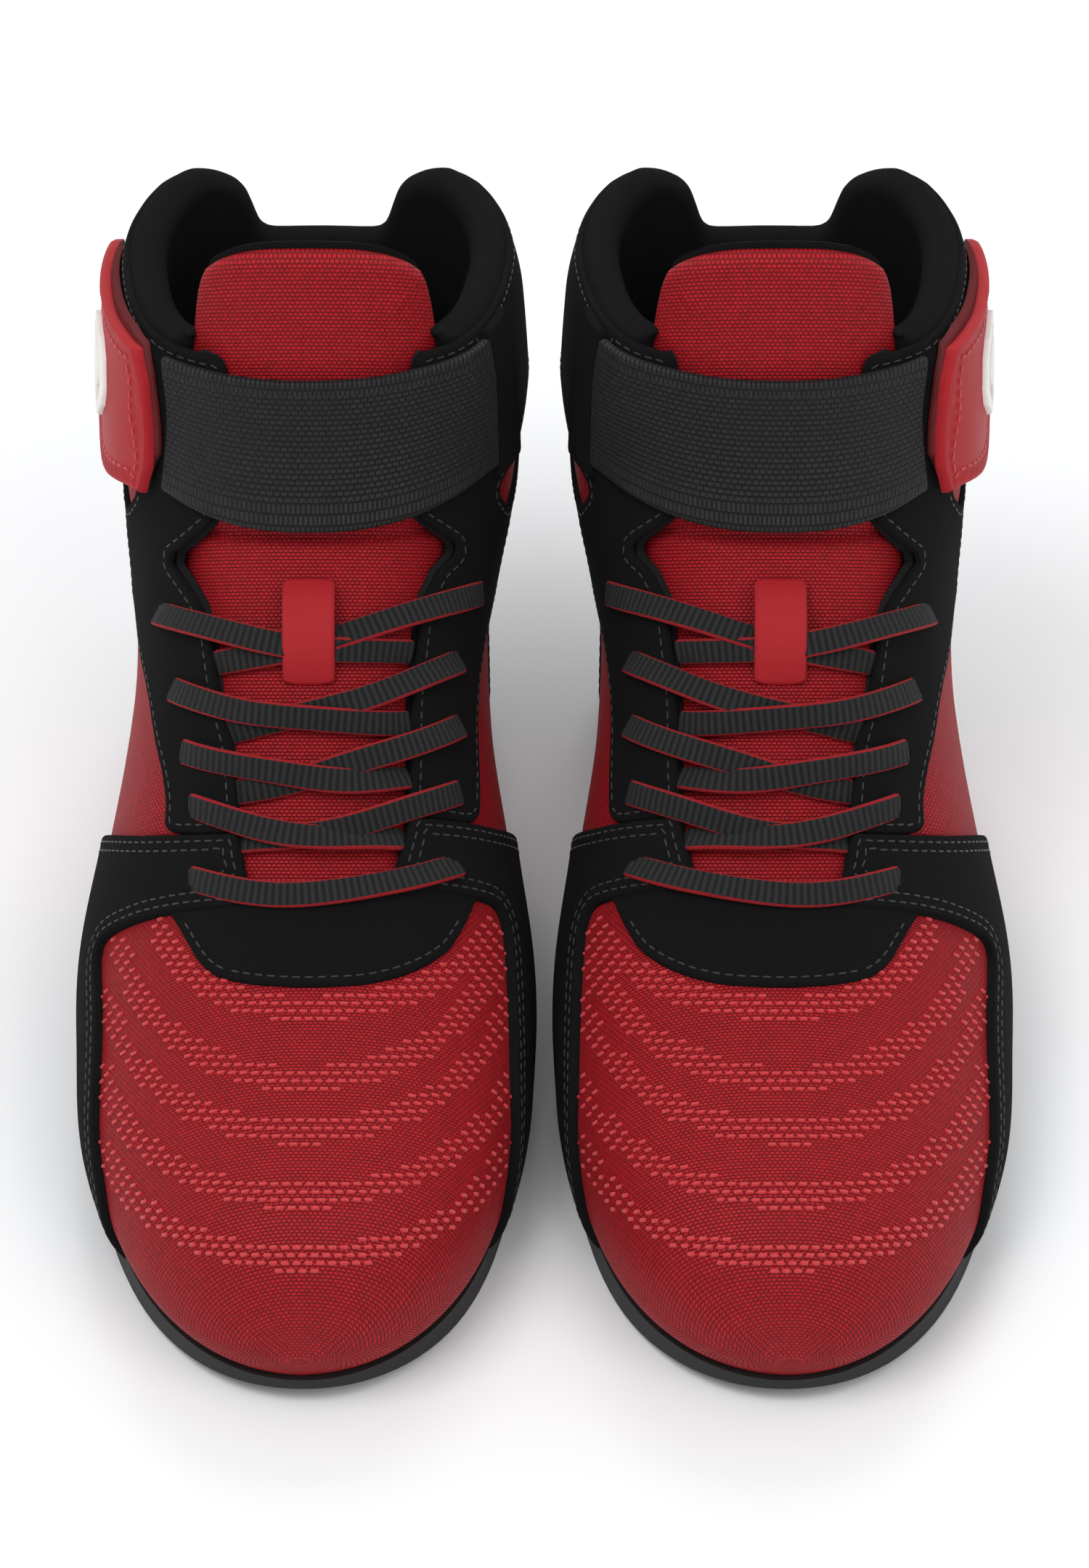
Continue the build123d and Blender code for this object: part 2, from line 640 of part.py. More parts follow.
with BuildPart() as strap_anchor:
    add(layer(suede_thickness + anchor_thickness, suede_thickness))
    add(side_prism([(slot_edge(122) + swing_gap, 122), (slot_edge(157.5) + swing_gap, 157.5),
                    (slot_edge(157.5) + 11, 157.5), (slot_edge(122) + 11, 122)], (-1,)), mode=Mode.INTERSECT)
finish("strap_anchor", strap_anchor.part)

TAB = [(tab_edge(124) + fit_gap, 124), (tab_edge(157) + fit_gap, 157), (205, 156.5), (217, 154), (235, 152),
       (248, 151.5), (252, 149.5), (252.5, 144), (248, 134), (239, 123), (227, 116), (213, 113.5),
       (200, 116.5), (190, 121)]
HOOK = [(tab_edge(127) + swing_gap, 127), (tab_edge(154) + swing_gap, 154), (217, 151), (246, 148.5),
        (248, 143), (243, 134), (234, 124), (225, 119), (212, 117), (198, 121)]
with BuildPart() as strap_tab:
    add(layer(tab_outside, strap_outside))
    add(side_prism(TAB, (1,)), mode=Mode.INTERSECT)
finish("strap_tab", strap_tab.part)

with BuildPart() as hook_patch:
    add(strap_layer)
    add(side_prism(HOOK, (1,)), mode=Mode.INTERSECT)
finish("hook_patch", hook_patch.part)

EMBLEM = [(206, 134), (213, 124), (229, 124), (237, 134), (229, 145), (213, 145)]
EMBLEM_MIDDLE = (221.5, 134.5)
EMBLEM_GROOVE = (0.78, 0.5)   # outer and inner share of the outline where the groove runs


def emblem_outline(share):
    """The emblem's six-sided outline, drawn in towards its middle."""
    middle_y, middle_z = EMBLEM_MIDDLE
    return [(middle_y + (y - middle_y) * share, middle_z + (z - middle_z) * share) for y, z in EMBLEM]


with BuildPart() as emblem_shape:
    add(side_prism(emblem_outline(1.0), (1,)))
    add(side_prism(emblem_outline(EMBLEM_GROOVE[0]), (1,)), mode=Mode.SUBTRACT)
    add(side_prism(emblem_outline(EMBLEM_GROOVE[1]), (1,)))
with BuildPart() as tab_emblem:
    add(layer(tab_outside + emblem_height, tab_outside))
    add(emblem_shape.part, mode=Mode.INTERSECT)
finish("tab_emblem", tab_emblem.part)

# Where the three joints of the left boot lie, for the record
print("tongue fold", boot_point(0, fold_y, fold_z))
for z in (strap_bottom, strap_bottom + strap_width):
    swing = (-half_width(slot_edge(z) * long, up(z), -1, strap_outside), slot_edge(z) * long, up(z))
    peel = (half_width(tab_edge(z) * long, up(z), 1, strap_outside), tab_edge(z) * long, up(z))
    print("strap hinge", boot_point(*swing), "tab hinge", boot_point(*peel))

# ---- The pair: the left boot in its place, and its mirror image ----
for name, part in pieces.items():
    with BuildPart() as left:
        with Locations((boots_apart / 2, -boot_length / 2, 0)):
            add(part)
    with BuildPart() as right:
        mirror(left.part, about=Plane.YZ)
    for boot_name, boot in (("left_", left), ("right_", right)):
        boot.part.label = boot_name + name
        export_step(boot.part, "parts/" + boot_name + name + ".step")
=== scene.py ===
from math import cos, pi, radians, sin

import bpy
import numpy as np
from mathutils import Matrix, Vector
from mathutils.bvhtree import BVHTree


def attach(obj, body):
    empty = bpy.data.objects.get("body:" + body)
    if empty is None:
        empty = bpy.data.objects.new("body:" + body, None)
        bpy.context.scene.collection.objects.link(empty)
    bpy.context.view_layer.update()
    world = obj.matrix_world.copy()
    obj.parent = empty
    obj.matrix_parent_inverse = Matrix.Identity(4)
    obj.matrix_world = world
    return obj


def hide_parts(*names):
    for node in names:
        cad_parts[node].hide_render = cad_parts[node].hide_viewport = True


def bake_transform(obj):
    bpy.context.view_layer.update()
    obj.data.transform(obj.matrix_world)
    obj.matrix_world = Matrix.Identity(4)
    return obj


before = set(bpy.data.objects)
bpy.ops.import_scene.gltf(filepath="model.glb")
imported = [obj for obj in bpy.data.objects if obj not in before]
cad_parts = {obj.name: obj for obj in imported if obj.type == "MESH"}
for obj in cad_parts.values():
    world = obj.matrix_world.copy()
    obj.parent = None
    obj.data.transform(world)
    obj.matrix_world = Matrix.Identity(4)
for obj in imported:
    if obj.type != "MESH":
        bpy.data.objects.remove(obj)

# A pair of mid-height boxing boots. Each boot is built here as the left one, in millimetres from the
# tip of its toe with its outer side towards +x, and its mirror image is the right one.
MM = 0.001
BOOTS_APART, BOOT_LENGTH = 113.0, 290.0
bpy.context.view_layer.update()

# ---- The last ----
# The upper is pulled wet over a foot-shaped last, so every panel follows one smooth curved skin.
# The skin is a grid of rings, one above the other, and each layer is measured off it.
FRONT = [(0, 18), (1.2, 26), (5, 34), (13, 41.5), (28, 48), (50, 53), (81, 60), (100, 69),
         (120, 82), (140, 98), (158, 114), (172, 130), (184, 150), (191, 168), (197, 194)]
BACK = [(8, 283), (20, 287), (35, 288.5), (60, 286), (90, 280), (120, 277), (150, 279), (195, 283)]
FOOT_LATERAL = [(0, 48), (40, 50), (70, 52.8), (95, 54.6), (120, 56), (150, 53), (190, 47.5),
                (240, 42), (290, 38)]
FOOT_MEDIAL = [(0, 50), (40, 50), (80, 51.5), (110, 52.5), (145, 49), (180, 44), (240, 40), (290, 38)]
SHAFT_LATERAL = [(0, 47), (50, 47), (75, 46.5), (100, 48), (130, 49.5), (150, 48.5), (170, 45), (195, 43)]
SHAFT_MEDIAL = [(0, 44), (50, 43), (72, 43.5), (88, 47), (105, 50.5), (125, 53), (145, 52.5),
                (165, 48.5), (195, 45)]
WIDEST_LEVEL, SOLE_LEVEL, TUCK, TOE_REACH = 18.0, 8.0, 3.0, 85.0
COLUMNS = 420
FRONT_TILT = radians(42)


def along(table, at):
    """A smooth value between the pairs of a table, with no overshoot."""
    given, wanted = np.array(table, float).T
    gaps = np.diff(given)
    slopes = np.diff(wanted) / gaps
    before, after = slopes[:-1], slopes[1:]
    total = np.where(before + after == 0, 1, before + after)
    middle = np.where(before * after > 0, 2 * before * after / total, 0)
    tangents = np.concatenate([slopes[:1], middle, slopes[-1:]])
    k = np.clip(np.searchsorted(given, at, side="right") - 1, 0, len(gaps) - 1)
    t = (at - given[k]) / gaps[k]
    value = ((2 * t**3 - 3 * t**2 + 1) * wanted[k] + (3 * t**2 - 2 * t**3) * wanted[k + 1]
             + ((t**3 - 2 * t**2 + t) * tangents[k] + (t**3 - t**2) * tangents[k + 1]) * gaps[k])
    value = np.where(at <= given[0], wanted[0] + tangents[0] * (at - given[0]), value)
    return np.where(at >= given[-1], wanted[-1] + tangents[-1] * (at - given[-1]), value)


def ease(low, high, value):
    """0 below low, 1 above high, smooth between."""
    t = np.clip((value - low) / (high - low), 0, 1)
    return t * t * (3 - 2 * t)


walk = np.concatenate([[0], np.cumsum(np.hypot(*np.diff(np.array(FRONT), axis=0).T))])
line_walk = np.linspace(0, walk[-1], 400)
line_y = along(list(zip(walk, [y for y, z in FRONT])), line_walk)
line_z = along(list(zip(walk, [z for y, z in FRONT])), line_walk)
shin_slope = (FRONT[-1][1] - FRONT[-2][1]) / (FRONT[-1][0] - FRONT[-2][0])


def half_width(y, z, side):
    """Half width of the skin at y and height z, on one side (+1 lateral, -1 medial)."""
    foot, leg, power = (FOOT_LATERAL, SHAFT_LATERAL, 2.25) if side > 0 else (FOOT_MEDIAL, SHAFT_MEDIAL, 2.3)
    shaft = ease(30, 112, z)
    tuck = TUCK * np.clip((WIDEST_LEVEL - z) / (WIDEST_LEVEL - SOLE_LEVEL), 0, 1) ** 2
    ahead = np.clip((TOE_REACH - (y - tuck)) / TOE_REACH, 0, 1)
    reach = along(foot, y) * (1 - ahead**power) ** (1 / power) * (1 - shaft) + along(leg, z) * shaft
    crown = 1.9 + 0.5 * ease(40, 110, z) if side > 0 else 2.6 - 0.2 * ease(40, 110, z)
    top = np.interp(y, line_y, line_z) + np.maximum(y - line_y[-1], 0) * shin_slope
    rise = np.clip((z - WIDEST_LEVEL) / np.maximum(top - WIDEST_LEVEL, 0.01), 0, 1)
    heel = along(BACK, z)
    turn = heel - (46 + 6 * ease(60, 140, z))
    behind = np.clip((y - turn) / (heel - turn), 0, 1)
    return np.maximum((reach * (1 - rise**crown) ** (1 / crown) - tuck) * (1 - behind**2.3) ** (1 / 2.3), 0)


levels = np.interp(np.linspace(0, walk[-1], 205), line_walk, line_z)
levels = np.concatenate([np.linspace(SOLE_LEVEL, 17, 7), levels])
z = np.repeat(levels[:, None], COLUMNS, 1)
turn = np.repeat(np.arange(COLUMNS)[None] * 2 / COLUMNS, len(levels), 0)
tucked = TUCK * np.clip((WIDEST_LEVEL - z) / (WIDEST_LEVEL - SOLE_LEVEL), 0, 1) ** 2
front_y = np.where(z > WIDEST_LEVEL, np.interp(z, line_z, line_y), tucked)
y = front_y + (along(BACK, z) - front_y) * (1 - np.cos(pi * turn)) / 2
x = np.where(turn <= 1, half_width(y, z, 1), -half_width(y, z, -1))
x[:, [0, COLUMNS // 2]] = 0

rows = len(levels)
corner = np.arange(rows * COLUMNS).reshape(rows, COLUMNS)
beside = np.roll(corner, -1, 1)
grid_faces = np.concatenate([np.stack([corner[:-1], beside[:-1], beside[1:]], -1).reshape(-1, 3),
                             np.stack([corner[:-1], beside[1:], corner[1:]], -1).reshape(-1, 3)])


def wrapped(squeeze):
    """The points of the skin, the way it faces at each, and its tangents."""
    points = np.stack([x * squeeze, y, z], -1)
    around = np.roll(points, -1, 1) - np.roll(points, 1, 1)
    upward = np.gradient(points, axis=0)
    facing = np.cross(around, upward)
    facing /= np.maximum(np.linalg.norm(facing, axis=-1, keepdims=True), 1e-9)
    return {"points": points, "facing": facing, "around": around / 2, "upward": upward}


skin = wrapped(1.0)
tongue_skin = wrapped(0.88)

# ---- Outsole, boards and footbed ----
# A flat moulded rubber sole with a thin rolled edge, cemented on. It is matt black with a slight
# bloom from the mould. The boards are pressed fibre, and the footbed is foam under black jersey.


def linear(code):
    """The linear colour of an sRGB hex code."""
    parts = [int(code[k:k + 2], 16) / 255 for k in (1, 3, 5)]
    return tuple(p / 12.92 if p <= 0.04045 else ((p + 0.055) / 1.055) ** 2.4 for p in parts) + (1.0,)


def add(tree, kind, inputs=None, **settings):
    """Add a shader node. An input is set to a value or linked to another node's output."""
    node = tree.nodes.new("ShaderNode" + kind)
    for name, value in settings.items():
        setattr(node, name, value)
    for name, value in (inputs or {}).items():
        if isinstance(value, bpy.types.NodeSocket):
            tree.links.new(value, node.inputs[name])
        else:
            node.inputs[name].default_value = value
    return node


def finish_of(name, colour, bump, distance, **values):
    """A material from a colour output and a bump height output on a Principled shader."""
    tree = colour.id_data
    shader = tree.nodes["Principled BSDF"]
    tree.links.new(colour, shader.inputs["Base Color"])
    raised = add(tree, "Bump", {"Height": bump, "Distance": distance, "Strength": 1.0})
    tree.links.new(raised.outputs["Normal"], shader.inputs["Normal"])
    for socket, value in values.items():
        shader.inputs[socket.replace("_", " ")].default_value = value


def started(name):
    """A new material and its node tree."""
    material = bpy.data.materials.new(name)
    material.use_nodes = True
    return material, material.node_tree


sole_rubber, tree = started("moulded carbon rubber")
speckle = add(tree, "TexNoise", {"Scale": 900.0, "Detail": 4.0})
bloom = add(tree, "TexNoise", {"Scale": 45.0, "Detail": 3.0})
colour = add(tree, "Mix", {"Factor": bloom.outputs["Fac"], "A": linear("#0c0c0d"), "B": linear("#1c1b1c")},
             data_type="RGBA")
finish_of("sole", colour.outputs["Result"], speckle.outputs["Fac"], 0.00012, Roughness=0.62)
fibre_board, tree = started("pressed fibre board")
flecks = add(tree, "TexNoise", {"Scale": 700.0, "Detail": 6.0})
colour = add(tree, "Mix", {"Factor": flecks.outputs["Fac"], "A": linear("#9a8a70"), "B": linear("#c9bda3")},
             data_type="RGBA")
finish_of("board", colour.outputs["Result"], flecks.outputs["Fac"], 0.0002, Roughness=0.9)
for boot in ("left_", "right_"):
    for node, material in (("outsole", sole_rubber), ("insole_board", fibre_board), ("toe_puff", fibre_board),
                           ("heel_stiffener", fibre_board)):
        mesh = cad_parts[boot + node].data
        mesh.materials.clear()
        mesh.materials.append(material)

# ---- Woven panels: vamp and quarters ----
# Heavy red nylon in a plain basket weave, 1.2 mm thick. Each thread crosses over its neighbours, so
# the face is a field of small raised blocks that catch the light, with dark gaps between them.


def climb(y, z):
    """How far up the sloping front a point is."""
    return y * sin(FRONT_TILT) + z * cos(FRONT_TILT)


def rounded(points, times=2):
    """The same closed outline with its corners cut round."""
    points = np.array(points, float)
    for _ in range(times):
        after = np.roll(points, -1, 0)
        points = np.stack([points * 0.8 + after * 0.2, points * 0.2 + after * 0.8], 1).reshape(-1, 2)
    return points


def inside_outline(points, across, up):
    """How far inside an outline each place is, and below 0 outside it."""
    nearest, inside = np.full(across.shape, 1e9), np.zeros(across.shape, bool)
    for (x0, y0), (x1, y1) in zip(points, np.roll(points, -1, 0)):
        dx, dy = x1 - x0, y1 - y0
        t = np.clip(((across - x0) * dx + (up - y0) * dy) / max(dx * dx + dy * dy, 1e-12), 0, 1)
        nearest = np.minimum(nearest, np.hypot(across - x0 - t * dx, up - y0 - t * dy))
        inside ^= ((y0 > up) != (y1 > up)) & (across < x0 + (up - y0) * dx / (dy if dy else 1e-9))
    return np.where(inside, nearest, -nearest)


def on_side(points, side=0, times=2, cloth=skin):
    """The part of the skin within a side outline (y, z), on one side or on both."""
    inside = inside_outline(rounded(points, times), cloth["points"][..., 1], cloth["points"][..., 2])
    return np.minimum(inside, side * cloth["points"][..., 0]) if side else inside


def on_front(points, times=2, cloth=skin):
    """The part of the front within an outline (x, climb)."""
    px, py, pz = np.moveaxis(cloth["points"], -1, 0)
    depth = (pz - 90) * sin(FRONT_TILT) - (py - 130) * cos(FRONT_TILT)
    return np.minimum(inside_outline(rounded(points, times), px, climb(py, pz)), depth + 34)


def on_back(points, times=1):
    """The part of the heel within a back outline (x, z)."""
    px, py, pz = np.moveaxis(skin["points"], -1, 0)
    return np.minimum(inside_outline(rounded(points, times), px, pz), py - 238)


def measured(inside, cloth=skin):
    """The same, as real distance over the curved cloth."""
    a, b = np.roll(inside, -1, 1) - np.roll(inside, 1, 1), np.gradient(inside, axis=0)
    a = a / 2
    e = (cloth["around"] ** 2).sum(-1)
    f = (cloth["around"] * cloth["upward"]).sum(-1)
    g = (cloth["upward"] ** 2).sum(-1)
    steep = np.sqrt(np.maximum((g * a * a - 2 * f * a * b + e * b * b) / np.maximum(e * g - f * f, 1e-9), 0))
    return inside / np.clip(steep, 0.3, 1)


def both(*parts):
    return np.minimum.reduce(parts)


def either(*parts):
    return np.maximum.reduce(parts)


def split(data, faces, level):
    """Cut the triangles where their last column passes a level."""
    over = data[:, -1] - level
    over = np.where(np.abs(over) < 1e-6, 1e-6, over)
    count = (over[faces] > 0).sum(1)
    whole, mixed = faces[(count == 0) | (count == 3)], faces[(count == 1) | (count == 2)]
    if not len(mixed):
        return data, faces
    up = over[mixed] > 0
    lone = np.where(up.sum(1, keepdims=True) == 1, up, ~up).argmax(1)
    each = np.arange(len(mixed))
    a, b, c = (mixed[each, (lone + k) % 3] for k in range(3))
    edges = np.sort(np.concatenate([np.stack([a, b], 1), np.stack([a, c], 1)]), 1)
    edges, place = np.unique(edges, axis=0, return_inverse=True)
    place = place.reshape(-1)
    low, high = over[edges[:, 0]], over[edges[:, 1]]
    t = (low / (low - high))[:, None]
    ab, ac = len(data) + place[:len(a)], len(data) + place[len(a):]
    faces = np.concatenate([whole, np.stack([a, ab, ac], 1), np.stack([ab, b, c], 1), np.stack([ab, c, ac], 1)])
    return np.concatenate([data, data[edges[:, 0]] * (1 - t) + data[edges[:, 1]] * t]), faces


def used(data, faces):
    """Drop the points that no face uses."""
    kept, faces = np.unique(faces, return_inverse=True)
    return data[kept], faces.reshape(-1, 3)


def softly(a, b, radius):
    """The overlap of two outlines, with a round corner where they cross."""
    return (np.maximum(radius, np.minimum(a, b))
            - np.hypot(np.maximum(radius - a, 0), np.maximum(radius - b, 0)))


def panel(inside, bottom, top, edge=0.9, shape=None, cloth=skin, threads="side", step=0.25,
          rings=(0, 0.35, 1)):
    """A panel of cloth, bottom to top off the skin, its edge rolled over. shape may change both faces."""
    px, py, pz = np.moveaxis(cloth["points"], -1, 0)
    if threads == "side":
        u, v = py, pz
    elif threads == "toe":
        crown = np.interp(py, line_y, line_z)
        u = np.sign(px) * np.hypot(px, np.maximum(crown - pz, 0))
        v = np.interp(py, line_y, line_walk) - np.maximum(WIDEST_LEVEL - pz, 0)
    elif threads == "front":
        u, v = px, climb(py, pz)
    else:
        arc = np.linalg.norm(cloth["around"], axis=-1)
        u, v = np.cumsum(arc, axis=1) - np.where(turn > 1, arc.sum(1, keepdims=True), 0), pz
    data = np.concatenate([cloth["points"], cloth["facing"], np.stack([u, v, inside], -1)], -1).reshape(-1, 9)
    faces = grid_faces[(data[grid_faces, 8] > 0).any(1)]
    data, faces = used(data, faces)
    for share in rings:
        data, faces = split(data, faces, edge * share)
    faces = faces[data[faces, 8].mean(1) > 0]
    data, faces = used(data, faces)
    points, facing, depth = data[:, :3], data[:, 3:6], data[:, 8]
    roll = np.sqrt(np.clip(1 - (1 - np.clip(depth / edge, 0, 1)) ** 2, 0, 1))
    height = bottom + (top - bottom) * (step + (1 - step) * roll)
    floor = np.full(len(data), float(bottom))
    if shape is not None:
        height, floor = shape(points, depth, height, floor)
    upper = points + facing * height[:, None]
    lower = points + facing * floor[:, None]
    edges = np.concatenate([faces[:, [0, 1]], faces[:, [1, 2]], faces[:, [2, 0]]])
    _, first, count = np.unique(np.sort(edges, 1), axis=0, return_index=True, return_counts=True)
    rim = edges[first[count == 1]]
    n = len(data)
    walls = np.concatenate([np.stack([rim[:, 1], rim[:, 0], rim[:, 0] + n], 1),
                            np.stack([rim[:, 1], rim[:, 0] + n, rim[:, 1] + n], 1)])
    return (np.concatenate([upper, lower]), np.concatenate([faces, faces[:, ::-1] + n, walls]),
            np.concatenate([data[:, 6:8]] * 2))


def make(name, made, material, rides_on, stands_for=(), crease=50):
    """One piece for each boot from the left one's points, faces and thread positions."""
    pieces = []
    points, faces, threads = made
    for boot, side in (("left", 1), ("right", -1)):
        placed = (points + (BOOTS_APART / 2, -BOOT_LENGTH / 2, 0)) * (side * MM, MM, MM)
        mesh = bpy.data.meshes.new(boot + "_" + name + "_made")
        mesh.from_pydata(placed.tolist(), [], (faces if side > 0 else faces[:, ::-1]).tolist())
        if threads is not None:
            corners = np.zeros(len(mesh.loops), int)
            mesh.loops.foreach_get("vertex_index", corners)
            mesh.uv_layers.new(name="threads").data.foreach_set("uv", threads[corners].astype(np.float32).ravel())
        mesh.shade_smooth()
        if crease:
            mesh.set_sharp_from_angle(angle=radians(crease))
        mesh.validate()
        mesh.materials.append(material)
        piece = bpy.data.objects.new(boot + "_" + name + "_made", mesh)
        bpy.context.scene.collection.objects.link(piece)
        if stands_for:
            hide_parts(*[boot + "_" + node for node in stands_for])
        if rides_on:
            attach(piece, boot + "_" + rides_on)
        pieces.append(piece)
    return pieces


red_nylon, tree = started("red basket-weave nylon")
threads = add(tree, "UVMap", uv_map="threads")
# Blocks of two threads, 1.2 mm wide and 0.85 mm high, in rows that are half a block apart
blocks = add(tree, "TexBrick", {"Vector": threads.outputs["UV"], "Color1": linear("#b90f1f"),
                                "Color2": linear("#a40d1a"), "Mortar": linear("#7d0811"), "Scale": 1.0,
                                "Mortar Size": 0.2, "Mortar Smooth": 1.0, "Bias": 0.0, "Brick Width": 1.2,
                                "Row Height": 0.85}, offset=0.5)
fading = add(tree, "TexNoise", {"Scale": 28.0, "Detail": 3.0})
shade = add(tree, "Mix", {"Factor": fading.outputs["Fac"], "A": linear("#e6e6e6"), "B": linear("#ffffff")},
            data_type="RGBA")
colour = add(tree, "Mix", {"Factor": 1.0, "A": blocks.outputs["Color"], "B": shade.outputs["Result"]},
             data_type="RGBA", blend_type="MULTIPLY")
height = add(tree, "Math", {0: 1.0, 1: blocks.outputs["Fac"]}, operation="SUBTRACT")
finish_of("nylon", colour.outputs["Result"], height.outputs["Value"], 0.00035, Roughness=0.6, Sheen_Weight=0.06,
          Sheen_Roughness=0.4, Sheen_Tint=linear("#ff5a5a"), Specular_IOR_Level=0.25)

GAP_LATERAL = [(13, 119), (14.5, 124), (16, 133), (16.5, 141), (17.5, 153), (19.5, 160), (21.5, 168),
               (23.5, 182), (26, 188), (29.5, 193), (34, 199), (28, 203), (21.5, 208.5), (18, 243),
               (24, 249), (31, 257)]
GAP_MEDIAL = [(-20, 119), (-22, 127), (-24, 135), (-24.5, 149), (-24.5, 165), (-26, 178), (-27, 188),
              (-29, 192), (-31, 196), (-35, 200), (-35, 202.5), (-30, 205.5), (-25, 209), (-24, 244),
              (-31, 251), (-38, 260)]
TOPLINE = [(140, 159), (205, 159), (235, 158), (252, 158), (262, 158.5), (269, 157.5), (275, 155), (310, 150)]
NOTCH = [(-14, 133), (12, 133), (16, 136), (19, 145), (22, 152), (28, 162), (34, 220), (-34, 220),
         (-29, 162), (-23.5, 152), (-21, 145), (-18, 136)]
VAMP = [(-20, 0), (-20, 95), (106, 95), (118, 72), (150, 38), (176, 0)]
gap = on_front(GAP_LATERAL + GAP_MEDIAL[::-1], 1)


EAR_ROUNDING = 9.0


def cut_above(lift):
    """What is cut away above the collar line."""
    return -softly(-on_side([(a, b + lift) for a, b in TOPLINE] + [(310, 260), (140, 260)], 0, 0),
                   -on_back([(a, b + lift) for a, b in NOTCH], 2), EAR_ROUNDING)


topline = cut_above(0)
vamp_side = on_side(VAMP, 0, 0)
TUCKED_UNDER = 1.6
vamp_field = measured(both(vamp_side, -gap - TUCKED_UNDER))
make("vamp", panel(vamp_field, -1.2, 0, 0.5, threads="toe"), red_nylon, "boot", ["vamp"])
for name, side in (("lateral_quarter", 1), ("medial_quarter", -1)):
    half = on_side([(-40, -20), (340, -20), (340, 260), (-40, 260)], side, 0)
    quarter_field = measured(both(-vamp_side, half, -gap - TUCKED_UNDER, -cut_above(-4)))
    make(name, panel(quarter_field, -1.2, 0, 0.5), red_nylon, "boot", [name])

# ---- Decorative rows on the vamp ----
# Five bands of raised stitches curve round the toe. Each is made of short level stitches in thick
# bright red bonded thread, in rows that are half a stitch apart like bricks.


def places(line, facings, length, pitch):
    """Where each stitch lies along a line: middle, direction, facing."""
    run = np.concatenate([[0], np.cumsum(np.linalg.norm(np.diff(line, axis=0), axis=1))])
    middles = np.arange(pitch / 2, run[-1] - length / 2, pitch)
    before, at, after, facing = (np.stack([np.interp(middles + shift, run, values[:, k]) for k in range(3)], -1)
                                 for values, shift in ((line, -0.3), (line, 0), (line, 0.3), (facings, 0)))
    ahead = after - before
    return at, ahead / np.maximum(np.linalg.norm(ahead, axis=1, keepdims=True), 1e-9), facing


def stitches(lines, length, gap_between, width, lift):
    """A mesh of plump stitches along each line of points and facings, lift above it."""
    turned = np.arange(6) * pi / 3
    shape = [(-0.5, 0, 0)] + [(s, w * cos(a), w * sin(a)) for s, w in ((-0.36, 0.5), (0.36, 0.5)) for a in turned]
    shape = np.array(shape + [(0.5, 0, 0)])
    caps = [(0, 1 + (k + 1) % 6, 1 + k) for k in range(6)] + [(13, 7 + k, 7 + (k + 1) % 6) for k in range(6)]
    ring = [(1 + k, 1 + (k + 1) % 6, 7 + (k + 1) % 6) for k in range(6)]
    ring += [(1 + k, 7 + (k + 1) % 6, 7 + k) for k in range(6)]
    pattern = np.array(caps + ring)
    points, faces = [], []
    for line, facing in lines:
        middle, ahead, out = places(line, facing, length, length + gap_between)
        across = np.cross(out, ahead)
        for m, a, b, c in zip(middle, ahead, across, out):
            faces.append(pattern + len(shape) * len(points))
            points.append(m + c * lift + shape[:, :1] * length * a + shape[:, 1:2] * width * b
                          + shape[:, 2:] * width * 0.8 * c)
    return np.concatenate(points), np.concatenate(faces), None


front_tree = BVHTree.FromPolygons(skin["points"].reshape(-1, 3).tolist(), grid_faces.tolist())
outward = Vector((0, -cos(FRONT_TILT), sin(FRONT_TILT)))


def over(points, direction):
    """Where lines along a direction, from outside, first meet the skin: points and smooth facings."""
    found, faced = [], []
    for p in points:
        hit, facing, _, _ = front_tree.ray_cast(Vector(p) + direction * 200, -direction)
        found.append(hit if hit else Vector(p))
        faced.append(facing if hit and facing.dot(direction) > 0 else -facing if hit else direction)
    found, faced = np.array(found), np.array(faced)
    for _ in range(3):
        faced[1:-1] = (faced[:-2] + faced[1:-1] * 2 + faced[2:]) / 4
    faced /= np.linalg.norm(faced, axis=1, keepdims=True)
    return found, faced


def front_place(across, upward):
    """Points of the model above places (x, climb) of the sloping front."""
    back = (upward - climb(130, 90)) * sin(FRONT_TILT)
    high = (upward - climb(130, 90)) * cos(FRONT_TILT)
    return over(np.stack([across, 130 + back, 90 + high], 1), outward)


# Each band: how high up the slope its middle is, its reach to the lateral and medial side, and its rise
BANDS = [(91.7, 35, 44, 22), (75.9, 45.5, 47, 36), (64.1, 49, 49, 35), (50.0, 49, 50, 31), (36.3, 47, 48, 27)]
ROW_STEP, STITCH_STEP, STITCH, BAND_HALF = 1.75, 2.7, 2.1, 2.9


def from_band(across, upward, band):
    """How far places of the slope lie from the middle line of a band."""
    low, lateral, medial, rise = band
    t = np.linspace(-0.985, 0.985, 200)
    line = np.stack([t * np.where(t > 0, lateral, medial), low + rise * (1 - np.sqrt(1 - t * t))], 1)
    return np.sqrt(((np.stack([across, upward], 1)[:, None] - line[None]) ** 2).sum(-1)).min(1)


